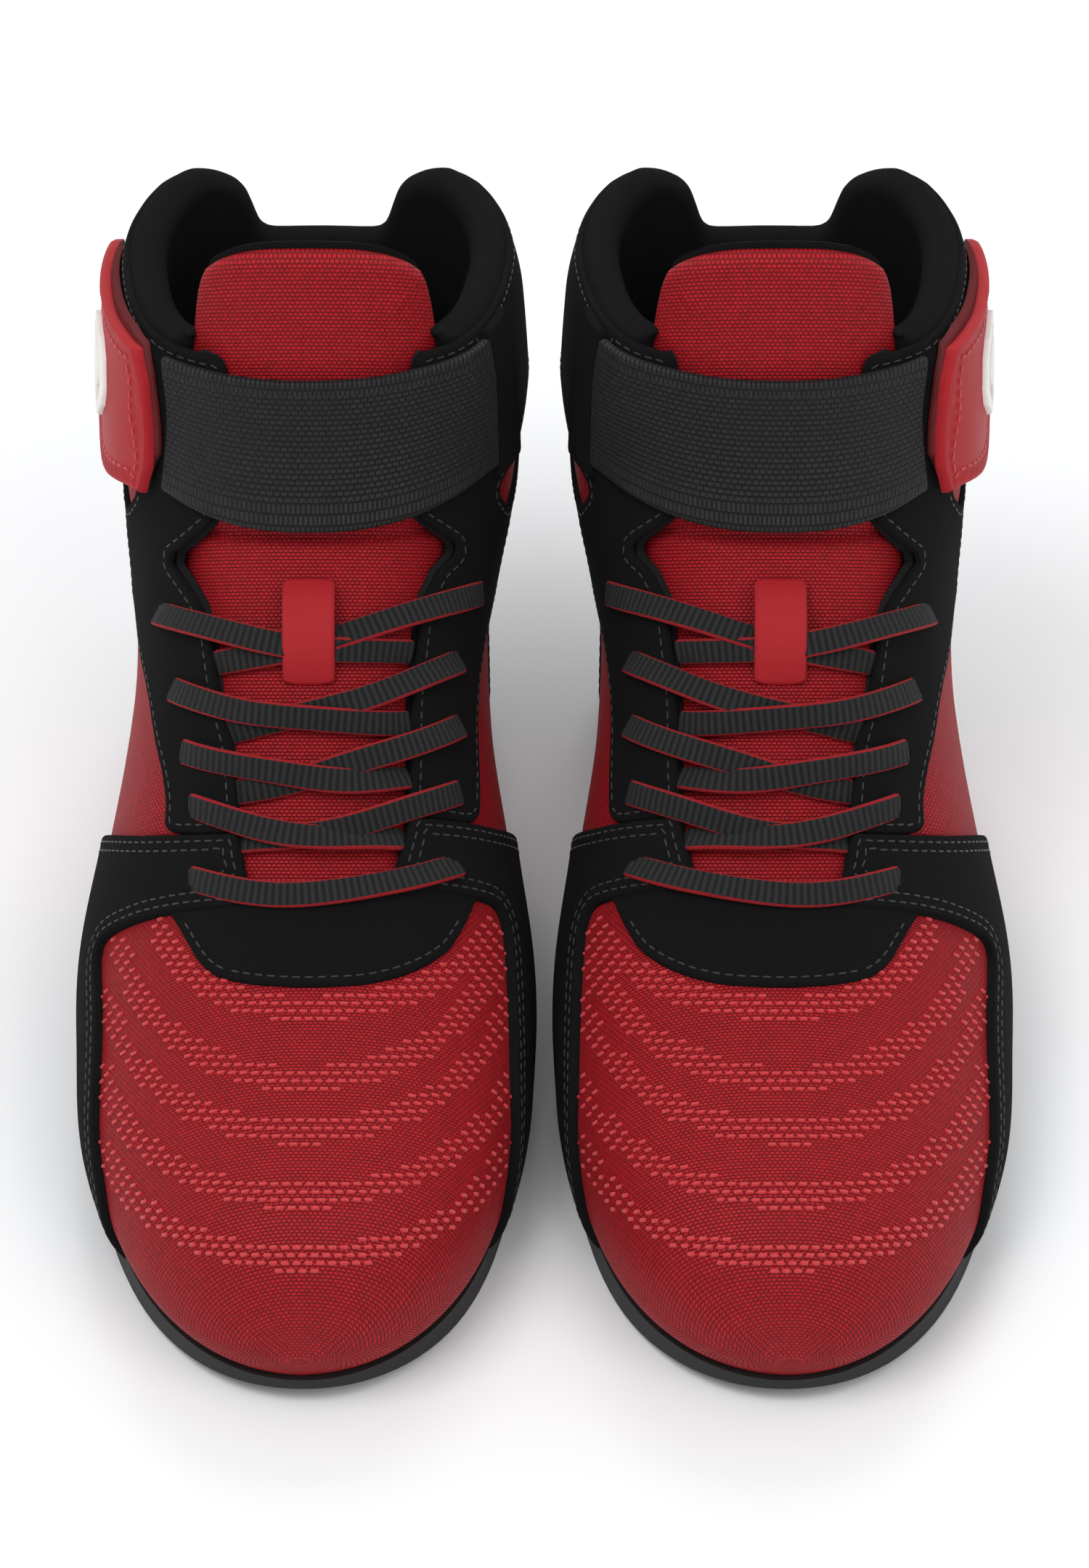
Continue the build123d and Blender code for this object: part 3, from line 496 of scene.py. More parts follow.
rows_of_stitches = []
for number, upward in enumerate(np.arange(30, 130, ROW_STEP)):
    across = np.arange(-50, 50, STITCH_STEP) + STITCH_STEP / 2 * (number % 2)
    inside = np.min([from_band(across, upward + 0 * across, band) for band in BANDS], axis=0) < BAND_HALF
    above = upward - climb(130, 90)
    for x in across[inside]:
        start = Vector((x, 130 + above * sin(FRONT_TILT), 90 + above * cos(FRONT_TILT)))
        hit, facing, _, _ = front_tree.ray_cast(start + outward * 200, -outward)
        if hit is None or hit.y > 112 or inside_outline(VAMP, np.array([hit.y]), np.array([hit.z]))[0] < 1.5:
            continue
        facing = facing if facing.dot(outward) > 0 else -facing
        level = (Vector((1, 0, 0)) - facing * facing.x).normalized()
        rows_of_stitches.append((np.array([hit + level * (k * STITCH) for k in (-0.7, 0, 0.7)]),
                                 np.array([facing] * 3)))
bonded_thread, tree = started("bright red bonded thread")
twist = add(tree, "TexNoise", {"Scale": 1600.0, "Detail": 2.0})
colour = add(tree, "Mix", {"Factor": twist.outputs["Fac"], "A": linear("#c5121c"), "B": linear("#e3222c")},
             data_type="RGBA")
finish_of("thread", colour.outputs["Result"], twist.outputs["Fac"], 0.0001, Roughness=0.45, Sheen_Weight=0.3)
make("vamp_stitching", stitches(rows_of_stitches, STITCH, 0.4 * STITCH, 1.0, 0.05), bonded_thread, "boot",
     crease=0)

# ---- Linings and footbed ----
# Black brushed tricot, glued inside the upper. It is soft and dull, with no gloss at all.
tricot, tree = started("black brushed tricot")
nap = add(tree, "TexNoise", {"Scale": 900.0, "Detail": 5.0, "Roughness": 0.7})
colour = add(tree, "Mix", {"Factor": nap.outputs["Fac"], "A": linear("#08080a"), "B": linear("#1b1b1e")},
             data_type="RGBA")
finish_of("tricot", colour.outputs["Result"], nap.outputs["Fac"], 0.0006, Roughness=0.95, Sheen_Weight=0.05,
          Sheen_Roughness=0.6, Specular_IOR_Level=0.08)
COLLAR_ZONE = [(187, 230), (190, 128), (200, 114), (230, 110), (310, 108), (310, 260), (187, 260)]
collar_zone = on_side(COLLAR_ZONE, 0, 1)
make("vamp_lining", panel(measured(both(vamp_side, -gap)), -3.3, -1.2, 0.5, threads="toe"), tricot, "boot",
     ["vamp_lining"])
lining_field = measured(both(-vamp_side, -gap, -topline, -(collar_zone - 4)))
make("quarter_lining", panel(lining_field, -3.3, -1.2, 0.5), tricot, "boot", ["quarter_lining"])
share = np.linspace(0, 1, 14)[:, None, None] ** 0.7
edge_ring = (skin["points"] - skin["facing"] * 3.6)[np.searchsorted(levels, 13)]
spine = edge_ring * (0, 1, 0)
spine[:, 1] = np.clip(spine[:, 1], 44, 250)
bed = spine + (edge_ring - spine) * share
arch = ease(120, 160, bed[..., 1]) * (1 - ease(200, 240, bed[..., 1]))
bed[..., 2] = 14.2 + 1.6 * share[..., 0] ** 6 + 0.8 * arch
bed = bed.reshape(-1, 3)
k = np.arange(13 * COLUMNS).reshape(13, COLUMNS)
nxt = np.roll(k, -1, 1)
bed_faces = np.concatenate([np.stack([k, k + COLUMNS, nxt + COLUMNS], -1).reshape(-1, 3),
                            np.stack([k, nxt + COLUMNS, nxt], -1).reshape(-1, 3)])
make("footbed", (bed, bed_faces, None), tricot, "boot", ["footbed"])

# ---- Suede overlays ----
# Black split suede, 1.4 mm, die-cut and sewn on over the nylon. The nap is dull and soft, darker
# where it is brushed down, and the cut edges are slightly paler.
suede, tree = started("black split suede")
nap = add(tree, "TexNoise", {"Scale": 1300.0, "Detail": 6.0, "Roughness": 0.75})
brushed = add(tree, "TexNoise", {"Scale": 38.0, "Detail": 5.0, "Roughness": 0.6})
patch = add(tree, "Mix", {"Factor": brushed.outputs["Fac"], "A": linear("#09090a"), "B": linear("#191819")},
            data_type="RGBA")
colour = add(tree, "Mix", {"Factor": nap.outputs["Fac"], "A": patch.outputs["Result"], "B": linear("#1d1c1d")},
             data_type="RGBA")
both_naps = add(tree, "Math", {0: nap.outputs["Fac"], 1: brushed.outputs["Fac"]}, operation="ADD")
finish_of("suede", colour.outputs["Result"], both_naps.outputs["Value"], 0.0005, Roughness=0.95,
          Sheen_Weight=0.05, Sheen_Roughness=0.5, Sheen_Tint=linear("#8a8686"), Specular_IOR_Level=0.08)

SADDLE_LATERAL = [(108, 82), (121.5, 68), (137, 54), (153, 39.5), (183, 0), (40, 0), (41, 16), (48, 23),
                  (57, 26), (72, 32), (92, 36.5), (104, 38.5), (110, 40), (111.5, 43), (110, 47),
                  (105.5, 55.5), (102, 61), (98.5, 66), (93, 74)]
SADDLE_MEDIAL = [(112, 84), (118.5, 77), (125, 69), (132.5, 60), (150, 42), (186, 0), (43, 0), (44, 14),
                 (50, 20.5), (58, 27), (69, 35), (88, 40.5), (106, 48), (110.5, 51.5), (111.5, 54.5),
                 (107.5, 61), (104, 66), (97, 76)]
THROAT = [(38, 122), (34, 116), (32, 113), (29, 108.5), (25, 102), (20.5, 98.5), (11, 97), (0, 96.5), (-14, 97),
          (-22.5, 98.8), (-29, 101.5), (-34, 105), (-37.5, 111), (-40, 117), (-44, 126), (38, 126)]
FACING_LATERAL = [(90, 100), (108, 82), (121.5, 68), (129, 73), (137, 76), (147, 78), (160, 81),
                  (178, 80), (198, 81), (203, 81), (203, 240), (90, 240)]
FACING_MEDIAL = [(90, 110), (112, 84), (118.5, 77), (128, 65), (143, 70), (154, 75), (164, 79), (178, 83),
                 (198, 81), (203, 81), (203, 240), (90, 240)]
WINDOW = [(192, 118), (198, 107), (206, 106), (235, 104), (300, 107), (300, 121), (235, 124), (206, 121)]
BACK_STRIP = [(-11, 62), (11, 62), (9, 100), (11, 140), (-11, 140), (-9, 100)]
HEEL = [(228, 0), (232, 28), (242, 46), (256, 60), (270, 68), (330, 72), (330, 0)]
BAND = [(198, 81), (215, 80), (240, 79), (262, 81), (330, 84), (330, 107), (235, 104), (206, 106), (198, 107)]
COLLAR = [(198, 119), (206, 121), (235, 124), (330, 121), (330, 240), (198, 240)]
LOOP = [(200, 126), (252, 128), (254, 150), (203, 152)]
saddle_l, saddle_m = on_side(SADDLE_LATERAL, 1), on_side(SADDLE_MEDIAL, -1)
window, back_strip = on_side(WINDOW), on_back(BACK_STRIP)
middle_of_throat = on_front([(-22, 80), (16, 80), (16, 121), (-22, 121)], 0)
heel = both(either(on_side(HEEL), back_strip), -topline)
suede_fields = {
    "throat_patch": (both(on_front(THROAT), -gap), 0, 1.2),
    "lateral_saddle": (both(saddle_l, -gap, -middle_of_throat), 0, 2.1),
    "medial_saddle": (both(saddle_m, -gap, -middle_of_throat), 0, 2.1),
    "lateral_eyestay": (both(on_side(FACING_LATERAL, 1), 5 - saddle_l, -gap, -topline, -window), 0, 1.35),
    "medial_eyestay": (both(on_side(FACING_MEDIAL, -1), 5 - saddle_m, -gap, -topline, -window), 0, 1.35),
    "ankle_band": (both(on_side(BAND), 4 - back_strip), 0, 1.3),
    "collar_overlay": (both(on_side(COLLAR), 4 - back_strip, -topline), 0, 1.3),
    "heel_overlay": (heel, 0, 1.9)}
distances = {}
for name, (inside, bottom, top) in suede_fields.items():
    distances[name] = measured(inside)
    make(name, panel(distances[name], bottom, top, 1.0), suede, "boot", [name])
loop_pile, tree = started("black loop pile")
loops = add(tree, "TexVoronoi", {"Scale": 1100.0})
colour = add(tree, "Mix", {"Factor": loops.outputs["Distance"], "A": linear("#0c0c0d"), "B": linear("#2e2c2e")},
             data_type="RGBA")
finish_of("loops", colour.outputs["Result"], loops.outputs["Distance"], 0.0007, Roughness=0.95,
          Specular_IOR_Level=0.08)
LOOP_PATCH = [(200, 126), (252, 128), (254, 150), (203, 152)]
make("loop_patch", panel(measured(on_side(LOOP_PATCH, 1, 0)), 0.5, 1.45, 0.4), loop_pile, "boot",
     ["loop_patch"])

# Black nylon thread along the cut edges: two rows on the saddle, one row elsewhere.


def rows_inside(inside, level, keep, cloth=skin):
    """The lines that lie a distance inside an edge, where keep(x, y, z) says that they are sewn."""
    points, facing = cloth["points"].reshape(-1, 3), cloth["facing"].reshape(-1, 3)
    over_level = inside.reshape(-1) - level
    over_level = np.where(np.abs(over_level) < 1e-6, 1e-6, over_level)
    up = over_level[grid_faces] > 0
    mixed = grid_faces[(up.sum(1) > 0) & (up.sum(1) < 3)]
    joined = {}
    for face in mixed.tolist():
        ends = [tuple(sorted((face[k], face[(k + 1) % 3]))) for k in range(3)
                if (over_level[face[k]] > 0) != (over_level[face[(k + 1) % 3]] > 0)]
        joined.setdefault(ends[0], []).append(ends[1])
        joined.setdefault(ends[1], []).append(ends[0])
    lines, seen = [], set()
    for start in sorted(joined, key=lambda key: (len(joined[key]), key)):
        if start in seen:
            continue
        line, here = [], start
        while here is not None:
            seen.add(here)
            line.append(here)
            here = next((n for n in joined[here] if n not in seen), None)
        lines.append(np.array(line))
    found = []
    for line in lines:
        a, b = over_level[line[:, 0]], over_level[line[:, 1]]
        t = (a / (a - b))[:, None]
        place = points[line[:, 0]] * (1 - t) + points[line[:, 1]] * t
        faced = facing[line[:, 0]] * (1 - t) + facing[line[:, 1]] * t
        wanted = np.array([bool(keep(*p)) for p in place])
        for part in np.split(np.arange(len(place)), np.flatnonzero(np.diff(wanted.astype(int))) + 1):
            if len(part) > 6 and wanted[part[0]]:
                for _ in range(2):
                    place[part[1:-1]] = (place[part[:-2]] + place[part[1:-1]] * 2 + place[part[2:]]) / 4
                found.append((place[part], faced[part]))
    return found


black_thread, tree = started("black nylon thread")
twist = add(tree, "TexNoise", {"Scale": 1500.0, "Detail": 2.0})
colour = add(tree, "Mix", {"Factor": twist.outputs["Fac"], "A": linear("#101011"), "B": linear("#2a292b")},
             data_type="RGBA")
finish_of("thread", colour.outputs["Result"], twist.outputs["Fac"], 0.0001, Roughness=0.5, Sheen_Weight=0.2)
sewn = []
for name, top, levels_in, keep in (
        ("lateral_saddle", 2.1, (2.0, 4.2), lambda px, py, pz: pz > 12 and px > 15),
        ("medial_saddle", 2.1, (2.0, 4.2), lambda px, py, pz: pz > 12 and px < -21),
        ("throat_patch", 1.2, (2.2,), lambda px, py, pz: climb(py, pz) < 112),
        ("lateral_eyestay", 1.35, (2.2,), lambda px, py, pz: pz < 160 and px > 10),
        ("medial_eyestay", 1.35, (2.2,), lambda px, py, pz: pz < 160 and px < -10),
        ("ankle_band", 1.3, (2.0,), lambda px, py, pz: py > 204),
        ("collar_overlay", 1.3, (2.2,), lambda px, py, pz: py > 204),
        ("heel_overlay", 1.9, (2.0, 4.2), lambda px, py, pz: pz > 12)):
    for level in levels_in:
        sewn += [(line + faced * (top - 0.1), faced) for line, faced in rows_inside(distances[name], level, keep)]
make("seam_stitching", stitches(sewn, 2.1, 0.9, 0.5, 0.05), black_thread, "boot", crease=0)

# ---- Padded collar ----
# Foam 8 mm thick under black brushed fleece, rolled over the top edge and turned down inside. The
# rim is a soft round roll, and the two ears stand up either side of the notch at the back.
fleece, tree = started("black brushed fleece")
pile = add(tree, "TexNoise", {"Scale": 1100.0, "Detail": 7.0, "Roughness": 0.8})
tufts = add(tree, "TexNoise", {"Scale": 260.0, "Detail": 4.0})
colour = add(tree, "Mix", {"Factor": pile.outputs["Fac"], "A": linear("#0b0b0c"), "B": linear("#2b292b")},
             data_type="RGBA")
mixed_pile = add(tree, "Math", {0: pile.outputs["Fac"], 1: tufts.outputs["Fac"]}, operation="ADD")
finish_of("fleece", colour.outputs["Result"], mixed_pile.outputs["Value"], 0.0009, Roughness=1.0,
          Sheen_Weight=0.1, Sheen_Roughness=0.4, Sheen_Tint=linear("#6a6a70"), Specular_IOR_Level=0.05)
PAD_ROLL = 4.4
ROUND = (0, 0.03, 0.12, 0.27, 0.48, 0.74, 1)


def pad_shape(points, depth, height, floor):
    """Round both faces over towards the edge, and swell a little in between."""
    roll = np.sqrt(np.clip(1 - (1 - np.clip(depth / PAD_ROLL, 0, 1)) ** 2, 0, 1))
    swell = 0.8 * np.clip(depth / 16, 0, 1)
    upper = -4.6 + 4.0 * roll + 0.9 * roll * (1 - ease(2.5, 8, depth))
    low_part = ease(104, 124, points[:, 2])
    lower = -4.6 - (4.6 * roll + swell) * (0.2 + 0.8 * low_part)
    return upper, lower


# The front edge of the pad tucks behind the facing, so it is cut where the tongue lies.
tongue_place = on_front([(-33, 100), (29, 100), (33, 200), (28, 262), (-31, 262), (-37, 200)], 1)
pad_field = measured(both(collar_zone, -cut_above(3.2), -gap, -tongue_place))
pad_data = panel(pad_field, -9.0, -1.2, PAD_ROLL, pad_shape, rings=ROUND)
for pad in make("collar_pad", pad_data, fleece, "boot", ["collar_pad"], crease=0):
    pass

# ---- Padded tongue ----
# One long tongue: red basket-weave nylon over 4 mm foam, with black fleece behind. A crease runs
# across it where it bends under the strap, and it puffs out above and below.
TONGUE_ROLL, TONGUE_BACK_ROLL = 4.0, 3.0
TONGUE = [(-30, 108), (26, 108), (33, 150), (34, 200), (31, 240), (29, 262), (26, 268), (-29, 268),
          (-32, 262), (-35, 240), (-38, 200), (-38, 150)]
CREASE = 203.5
tongue_field = measured(on_front(TONGUE, 2, tongue_skin), tongue_skin)


def tongue_face(points, depth, height, floor):
    """The nylon face: puffed, with a crease across."""
    v = climb(points[:, 1], points[:, 2])
    roll = np.sqrt(np.clip(1 - (1 - np.clip(depth / TONGUE_ROLL, 0, 1)) ** 2, 0, 1))
    puff = 1.6 * ease(0, 16, depth) * (0.4 + 0.6 * ease(206, 222, v))
    crease = -2.2 * np.exp(-((v - CREASE - 0.02 * points[:, 0] ** 2 / 8) / 1.5) ** 2)
    second = -0.7 * np.exp(-((v - 212.5) / 1.2) ** 2)
    upper = -5.4 + 3.8 * roll + puff + (crease + second) * np.clip(depth / 6, 0, 1)
    return upper, np.full(len(points), -5.8)


def tongue_back_shape(points, depth, height, floor):
    """The fleece behind, a little proud at the top edge."""
    roll = np.sqrt(np.clip(1 - (1 - np.clip(depth / TONGUE_BACK_ROLL, 0, 1)) ** 2, 0, 1))
    return np.full(len(points), -5.6), -5.9 - 2.6 * roll


def bend_with_tongue(pieces):
    """Bake the placement of each piece into its mesh."""
    for piece, side in zip(pieces, (1, -1)):
        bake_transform(piece)


tongue_red = panel(tongue_field, -5.8, -1.6, TONGUE_ROLL, tongue_face, tongue_skin, "front", rings=ROUND)
pieces = make("tongue", tongue_red, red_nylon, "", ["tongue_lower", "tongue_top"], crease=0)
bend_with_tongue(pieces)
back_outline = [(a * 1.01, b + (1.5 if b > 260 else 0)) for a, b in TONGUE]
back_field = measured(on_front(back_outline, 2, tongue_skin), tongue_skin)
tongue_black = panel(back_field, -8.0, -5.6, TONGUE_BACK_ROLL, tongue_back_shape, tongue_skin, "front",
                     rings=ROUND)
pieces = make("tongue_lining", tongue_black, fleece, "", crease=0)
bend_with_tongue(pieces)

# ---- Lace and keeper ----
# A flat woven polyester lace, 6.3 mm wide, black with cross ribs and a red cord along each edge. It
# is threaded through punched holes, crosses four times, and a rubber keeper holds it to the tongue.
LACE_WIDTH, LACE_THICK, RIB = 6.3, 1.6, 1.7
LACE_LATERAL = [(36.3, 186), (32.3, 167), (29.7, 152.6), (27.6, 139), (27.7, 121.5)]
LACE_MEDIAL = [(-40.2, 191.5), (-35.3, 174), (-35.5, 158.8), (-35.5, 142.3), (-35.6, 125.3)]
UNDER_MEDIAL = [(-25.5, 176), (-25, 159.5), (-25, 146), (-24, 131.5)]
UNDER_LATERAL = [(23, 173.0), (19.5, 157), (18, 142.5), (16.5, 130.5)]
lace_ribbon, tree = started("black polyester lace with red edges")
threads = add(tree, "UVMap", uv_map="threads")
place = add(tree, "SeparateXYZ", {"Vector": threads.outputs["UV"]})
from_middle = add(tree, "Math", {0: place.outputs["Y"]}, operation="ABSOLUTE")
ribs = add(tree, "TexWave", {"Vector": threads.outputs["UV"], "Scale": 1 / (RIB * 3.183), "Distortion": 0.0},
           wave_type="BANDS", bands_direction="X")
fine = add(tree, "TexNoise", {"Scale": 1700.0, "Detail": 3.0})
body = add(tree, "Mix", {"Factor": ribs.outputs["Fac"], "A": linear("#0b0b0c"), "B": linear("#323234")},
           data_type="RGBA")
is_edge = add(tree, "MapRange", {"Value": from_middle.outputs["Value"], "From Min": 2.6, "From Max": 2.8})
colour = add(tree, "Mix", {"Factor": is_edge.outputs["Result"], "A": body.outputs["Result"],
                           "B": linear("#b3121c")}, data_type="RGBA")
finish_of("lace", colour.outputs["Result"], fine.outputs["Fac"], 0.00025, Roughness=0.65, Sheen_Weight=0.04,
          Specular_IOR_Level=0.25)


def ribbon(path, facing, width, thick, rib, roll):
    """A flat ribbed ribbon with corded edges along a path."""
    around = np.arange(16) * pi / 8
    flat = np.stack([np.sign(np.cos(around)) * np.abs(np.cos(around)) ** 0.55,
                     np.sign(np.sin(around)) * np.abs(np.sin(around)) ** 0.75], 1)
    ahead = np.gradient(path, axis=0)
    ahead /= np.linalg.norm(ahead, axis=1, keepdims=True)
    across = np.cross(facing, ahead)
    across /= np.linalg.norm(across, axis=1, keepdims=True)
    up = np.cross(ahead, across)
    c, s = np.cos(roll)[:, None], np.sin(roll)[:, None]
    across, up = across * c + up * s, up * c - across * s
    run = np.concatenate([[0], np.cumsum(np.linalg.norm(np.diff(path, axis=0), axis=1))])
    ends = np.sqrt(np.clip(1 - (1 - np.minimum(run, run[-1] - run) / 1.6).clip(0, 1) ** 2, 0.02, 1))
    wave = 1 + 0.16 * np.cos(2 * pi * run / rib)
    corded = 1 + 0.28 * np.clip((np.abs(flat[:, 0]) - 0.72) / 0.1, 0, 1)
    height = (thick / 2 * wave * ends)[:, None, None] * corded[None, :, None]
    points = (path[:, None] + across[:, None] * (flat[None, :, :1] * (width / 2 * ends)[:, None, None])
              + up[:, None] * (flat[None, :, 1:] * height))
    count = len(path)
    k = np.arange((count - 1) * 16).reshape(count - 1, 16)
    n = np.roll(k, -1, 1)
    faces = np.concatenate([np.stack([k, n, n + 16], -1).reshape(-1, 3),
                            np.stack([k, n + 16, k + 16], -1).reshape(-1, 3)])
    lids = np.array([(0, j + 1, j) for j in range(1, 15)])
    last = (count - 1) * 16
    faces = np.concatenate([faces, lids, lids[:, ::-1] + last])
    uv = np.stack([np.repeat(run[:, None], 16, 1), np.repeat(flat[None, :, 0] * width / 2, count, 0)], -1)
    return points.reshape(-1, 3), faces, uv.reshape(-1, 2)


def joined_up(parts):
    """Several meshes as one."""
    points, faces, uv, start = [], [], [], 0
    for p, f, t in parts:
        points.append(p)
        faces.append(f + start)
        uv.append(t if t is not None else np.zeros((len(p), 2)))
        start += len(p)
    return np.concatenate(points), np.concatenate(faces), np.concatenate(uv)


def lace_run(start, end, heights, sag, roll, number):
    """One run of lace from an eyelet to where it tucks under the other facing."""
    t = np.linspace(0, 1, 170)
    wander = 0.35 * np.sin(2 * pi * (t * 1.4 + number * 0.37))
    across = start[0] + (end[0] - start[0]) * t
    upward = start[1] + (end[1] - start[1]) * t - sag * 4 * t * (1 - t) + wander
    path, facing = front_place(across, upward)
    lift = np.interp(t, *zip(*heights))
    for _ in range(30):
        lift[1:-1] = (lift[:-2] + lift[2:]) / 2
        path[1:-1] = (path[:-2] + path[1:-1] * 2 + path[2:]) / 4
    facing = facing / np.linalg.norm(facing, axis=1, keepdims=True)
    path = path + facing * lift[:, None]
    return ribbon(path, facing, LACE_WIDTH, LACE_THICK, RIB, radians(roll) * np.cos(pi * t * 1.2 + number))


runs = []
for row in range(4):
    runs.append(lace_run(LACE_LATERAL[row], UNDER_MEDIAL[row], [(0, 1.2), (0.05, 2.4), (0.25, 2.6), (0.42, 3.3),
                         (0.6, 2.8), (0.85, 1.2), (1, -0.9)], 3.4, 24, row))
    runs.append(lace_run(LACE_MEDIAL[row], UNDER_LATERAL[row], [(0, 1.2), (0.05, 2.4), (0.25, 2.5), (0.45, 2.3),
                         (0.75, 1.0), (0.9, 0.3), (1, -0.9)], 2.4, -22, row + 5))
runs.append(lace_run(LACE_LATERAL[4], LACE_MEDIAL[4], [(0, 1.2), (0.06, 2.6), (0.5, 2.5), (0.94, 2.6),
                     (1, 1.2)], 5.5, 14, 9))
make("lace", joined_up(runs), lace_ribbon, "boot", ["lace"], crease=60)

red_rubber, tree = started("red moulded rubber")
grain = add(tree, "TexNoise", {"Scale": 1500.0, "Detail": 3.0})
cloud = add(tree, "TexNoise", {"Scale": 60.0, "Detail": 3.0})
colour = add(tree, "Mix", {"Factor": cloud.outputs["Fac"], "A": linear("#a8131c"), "B": linear("#b81a25")},
             data_type="RGBA")
finish_of("rubber", colour.outputs["Result"], grain.outputs["Fac"], 0.00009, Roughness=0.5,
          Specular_IOR_Level=0.35)
KEEPER = (168.0, 193.4)
t = np.linspace(0, 1, 60)
path, facing = front_place(-0.3 + 0 * t, KEEPER[0] + (KEEPER[1] - KEEPER[0]) * t)
lift = np.interp(t, [0, 0.1, 0.3, 0.6, 0.85, 1], [-1.0, 0.0, 3.4, 4.9, 3.2, -0.4])
for _ in range(20):
    lift[1:-1] = (lift[:-2] + lift[2:]) / 2
KEEPER_WIDTH, KEEPER_THICK, NO_RIB = 12.6, 1.5, 400
keeper = ribbon(path + facing * lift[:, None], facing, KEEPER_WIDTH, KEEPER_THICK, NO_RIB, 0 * t)
make("lace_keeper", keeper, red_rubber, "boot", ["lace_keeper"], crease=60)

# ---- Ankle strap ----
# A black elastic band, 31 mm wide, woven in coarse ribs with two rows of upright cells along each
# edge. It is sewn into a suede slot on the inner side and pulled across to the outer side.
STRAP_LOW, STRAP_HIGH = 126.0, 157.0
elastic, tree = started("black woven elastic")
threads = add(tree, "UVMap", uv_map="threads")
place = add(tree, "SeparateXYZ", {"Vector": threads.outputs["UV"]})
cells = add(tree, "TexBrick", {"Vector": threads.outputs["UV"], "Color1": linear("#1d1d1f"),
                               "Color2": linear("#151517"), "Mortar": linear("#040405"), "Scale": 1.0,
                               "Mortar Size": 0.26, "Mortar Smooth": 1.0,
                               "Bias": 0.0, "Brick Width": 1.6, "Row Height": 1.15}, offset=0.5)
selvedge = add(tree, "TexBrick", {"Vector": threads.outputs["UV"], "Color1": linear("#1f1f21"),
                                  "Color2": linear("#161618"), "Mortar": linear("#040405"), "Scale": 1.0,
                                  "Mortar Size": 0.26, "Mortar Smooth": 1.0, "Bias": 0.0, "Brick Width": 1.1,
                                  "Row Height": 2.2}, offset=0.5)
middle = add(tree, "Math", {0: place.outputs["Y"], 1: (STRAP_LOW + STRAP_HIGH) / 2}, operation="SUBTRACT")
away = add(tree, "Math", {0: middle.outputs["Value"]}, operation="ABSOLUTE")
is_edge = add(tree, "Math", {0: away.outputs["Value"], 1: 11.2}, operation="GREATER_THAN")
colour = add(tree, "Mix", {"Factor": is_edge.outputs["Value"], "A": cells.outputs["Color"],
                           "B": selvedge.outputs["Color"]}, data_type="RGBA")
fac = add(tree, "Mix", {"Factor": is_edge.outputs["Value"], "A": cells.outputs["Fac"],
                        "B": selvedge.outputs["Fac"]})
height = add(tree, "Math", {0: 1.0, 1: fac.outputs["Result"]}, operation="SUBTRACT")
finish_of("elastic", colour.outputs["Result"], height.outputs["Value"], 0.0006, Roughness=0.55,
          Sheen_Weight=0.03, Specular_IOR_Level=0.3)


def slot_edge(z):
    """Where the elastic is sewn in, up the medial side."""
    return 191.5 + (z - 126) * 0.32


def tab_edge(z):
    """Where the elastic ends and the tab begins, up the lateral side."""
    return 181.5 + (z - 124) * 0.39


def off_skin(offset):
    """The cloth at an offset, where the pieces that swing are cut square across."""
    return {**skin, "points": skin["points"] + skin["facing"] * offset}


STRAP_CLOTH, TAB_CLOTH = off_skin(2.8), off_skin(5.2)
strap_medial, strap_lateral = (
    on_side([(120, STRAP_LOW), (end(STRAP_LOW), STRAP_LOW), (end(STRAP_HIGH), STRAP_HIGH), (120, STRAP_HIGH)],
            0, 0, STRAP_CLOTH) for end in (slot_edge, tab_edge))
strap_field = measured(np.where(skin["points"][..., 0] < 0, strap_medial, strap_lateral))
strap_band = panel(strap_field, 1.8, 3.7, 0.8, threads="round", step=0.4)
make("strap", strap_band, elastic, "strap", ["strap"])
anchor_field = measured(on_side([(slot_edge(122) + 1.6, 122), (slot_edge(157.5) + 1.6, 157.5),
                                 (slot_edge(157.5) + 12, 157.5), (slot_edge(122) + 12, 122)], -1, 0))
make("strap_anchor", panel(anchor_field, 1.2, 3.3, 1.0), suede, "boot", ["strap_anchor"])

# ---- Rubber tab ----
# A moulded red rubber tab sewn on the end of the band, with a raised rim, a stitched line inside it
# and a plain six-sided badge. Red hook tape behind it grips the black loop patch on the collar.
TAB = [(tab_edge(124) + 0.4, 124), (tab_edge(157) + 0.4, 157), (205, 156.5), (217, 154), (235, 152),
       (248, 151.5), (252, 149.5), (252.5, 144), (248, 134), (239, 123), (227, 116), (213, 113.5),
       (200, 116.5), (190, 121)]


def tab_shape(points, depth, height, floor):
    """A raised rim, 2.6 mm wide, round the flat face."""
    rim = 0.8 * (1 - ease(2.0, 3.0, depth))
    return height + rim * np.clip(depth / 0.9, 0, 1), floor


tab_field = measured(on_side(TAB, 1, 1, TAB_CLOTH))
make("strap_tab", panel(tab_field, 3.6, 5.4, 0.9, tab_shape), red_rubber, "tab", ["strap_tab"])
tab_rows = [(line + faced * 5.4, faced) for line, faced in rows_inside(tab_field, 4.6, lambda px, py, pz: True)]
make("tab_stitching", stitches(tab_rows, 2.2, 0.9, 0.7, 0.05), bonded_thread, "tab", crease=0)

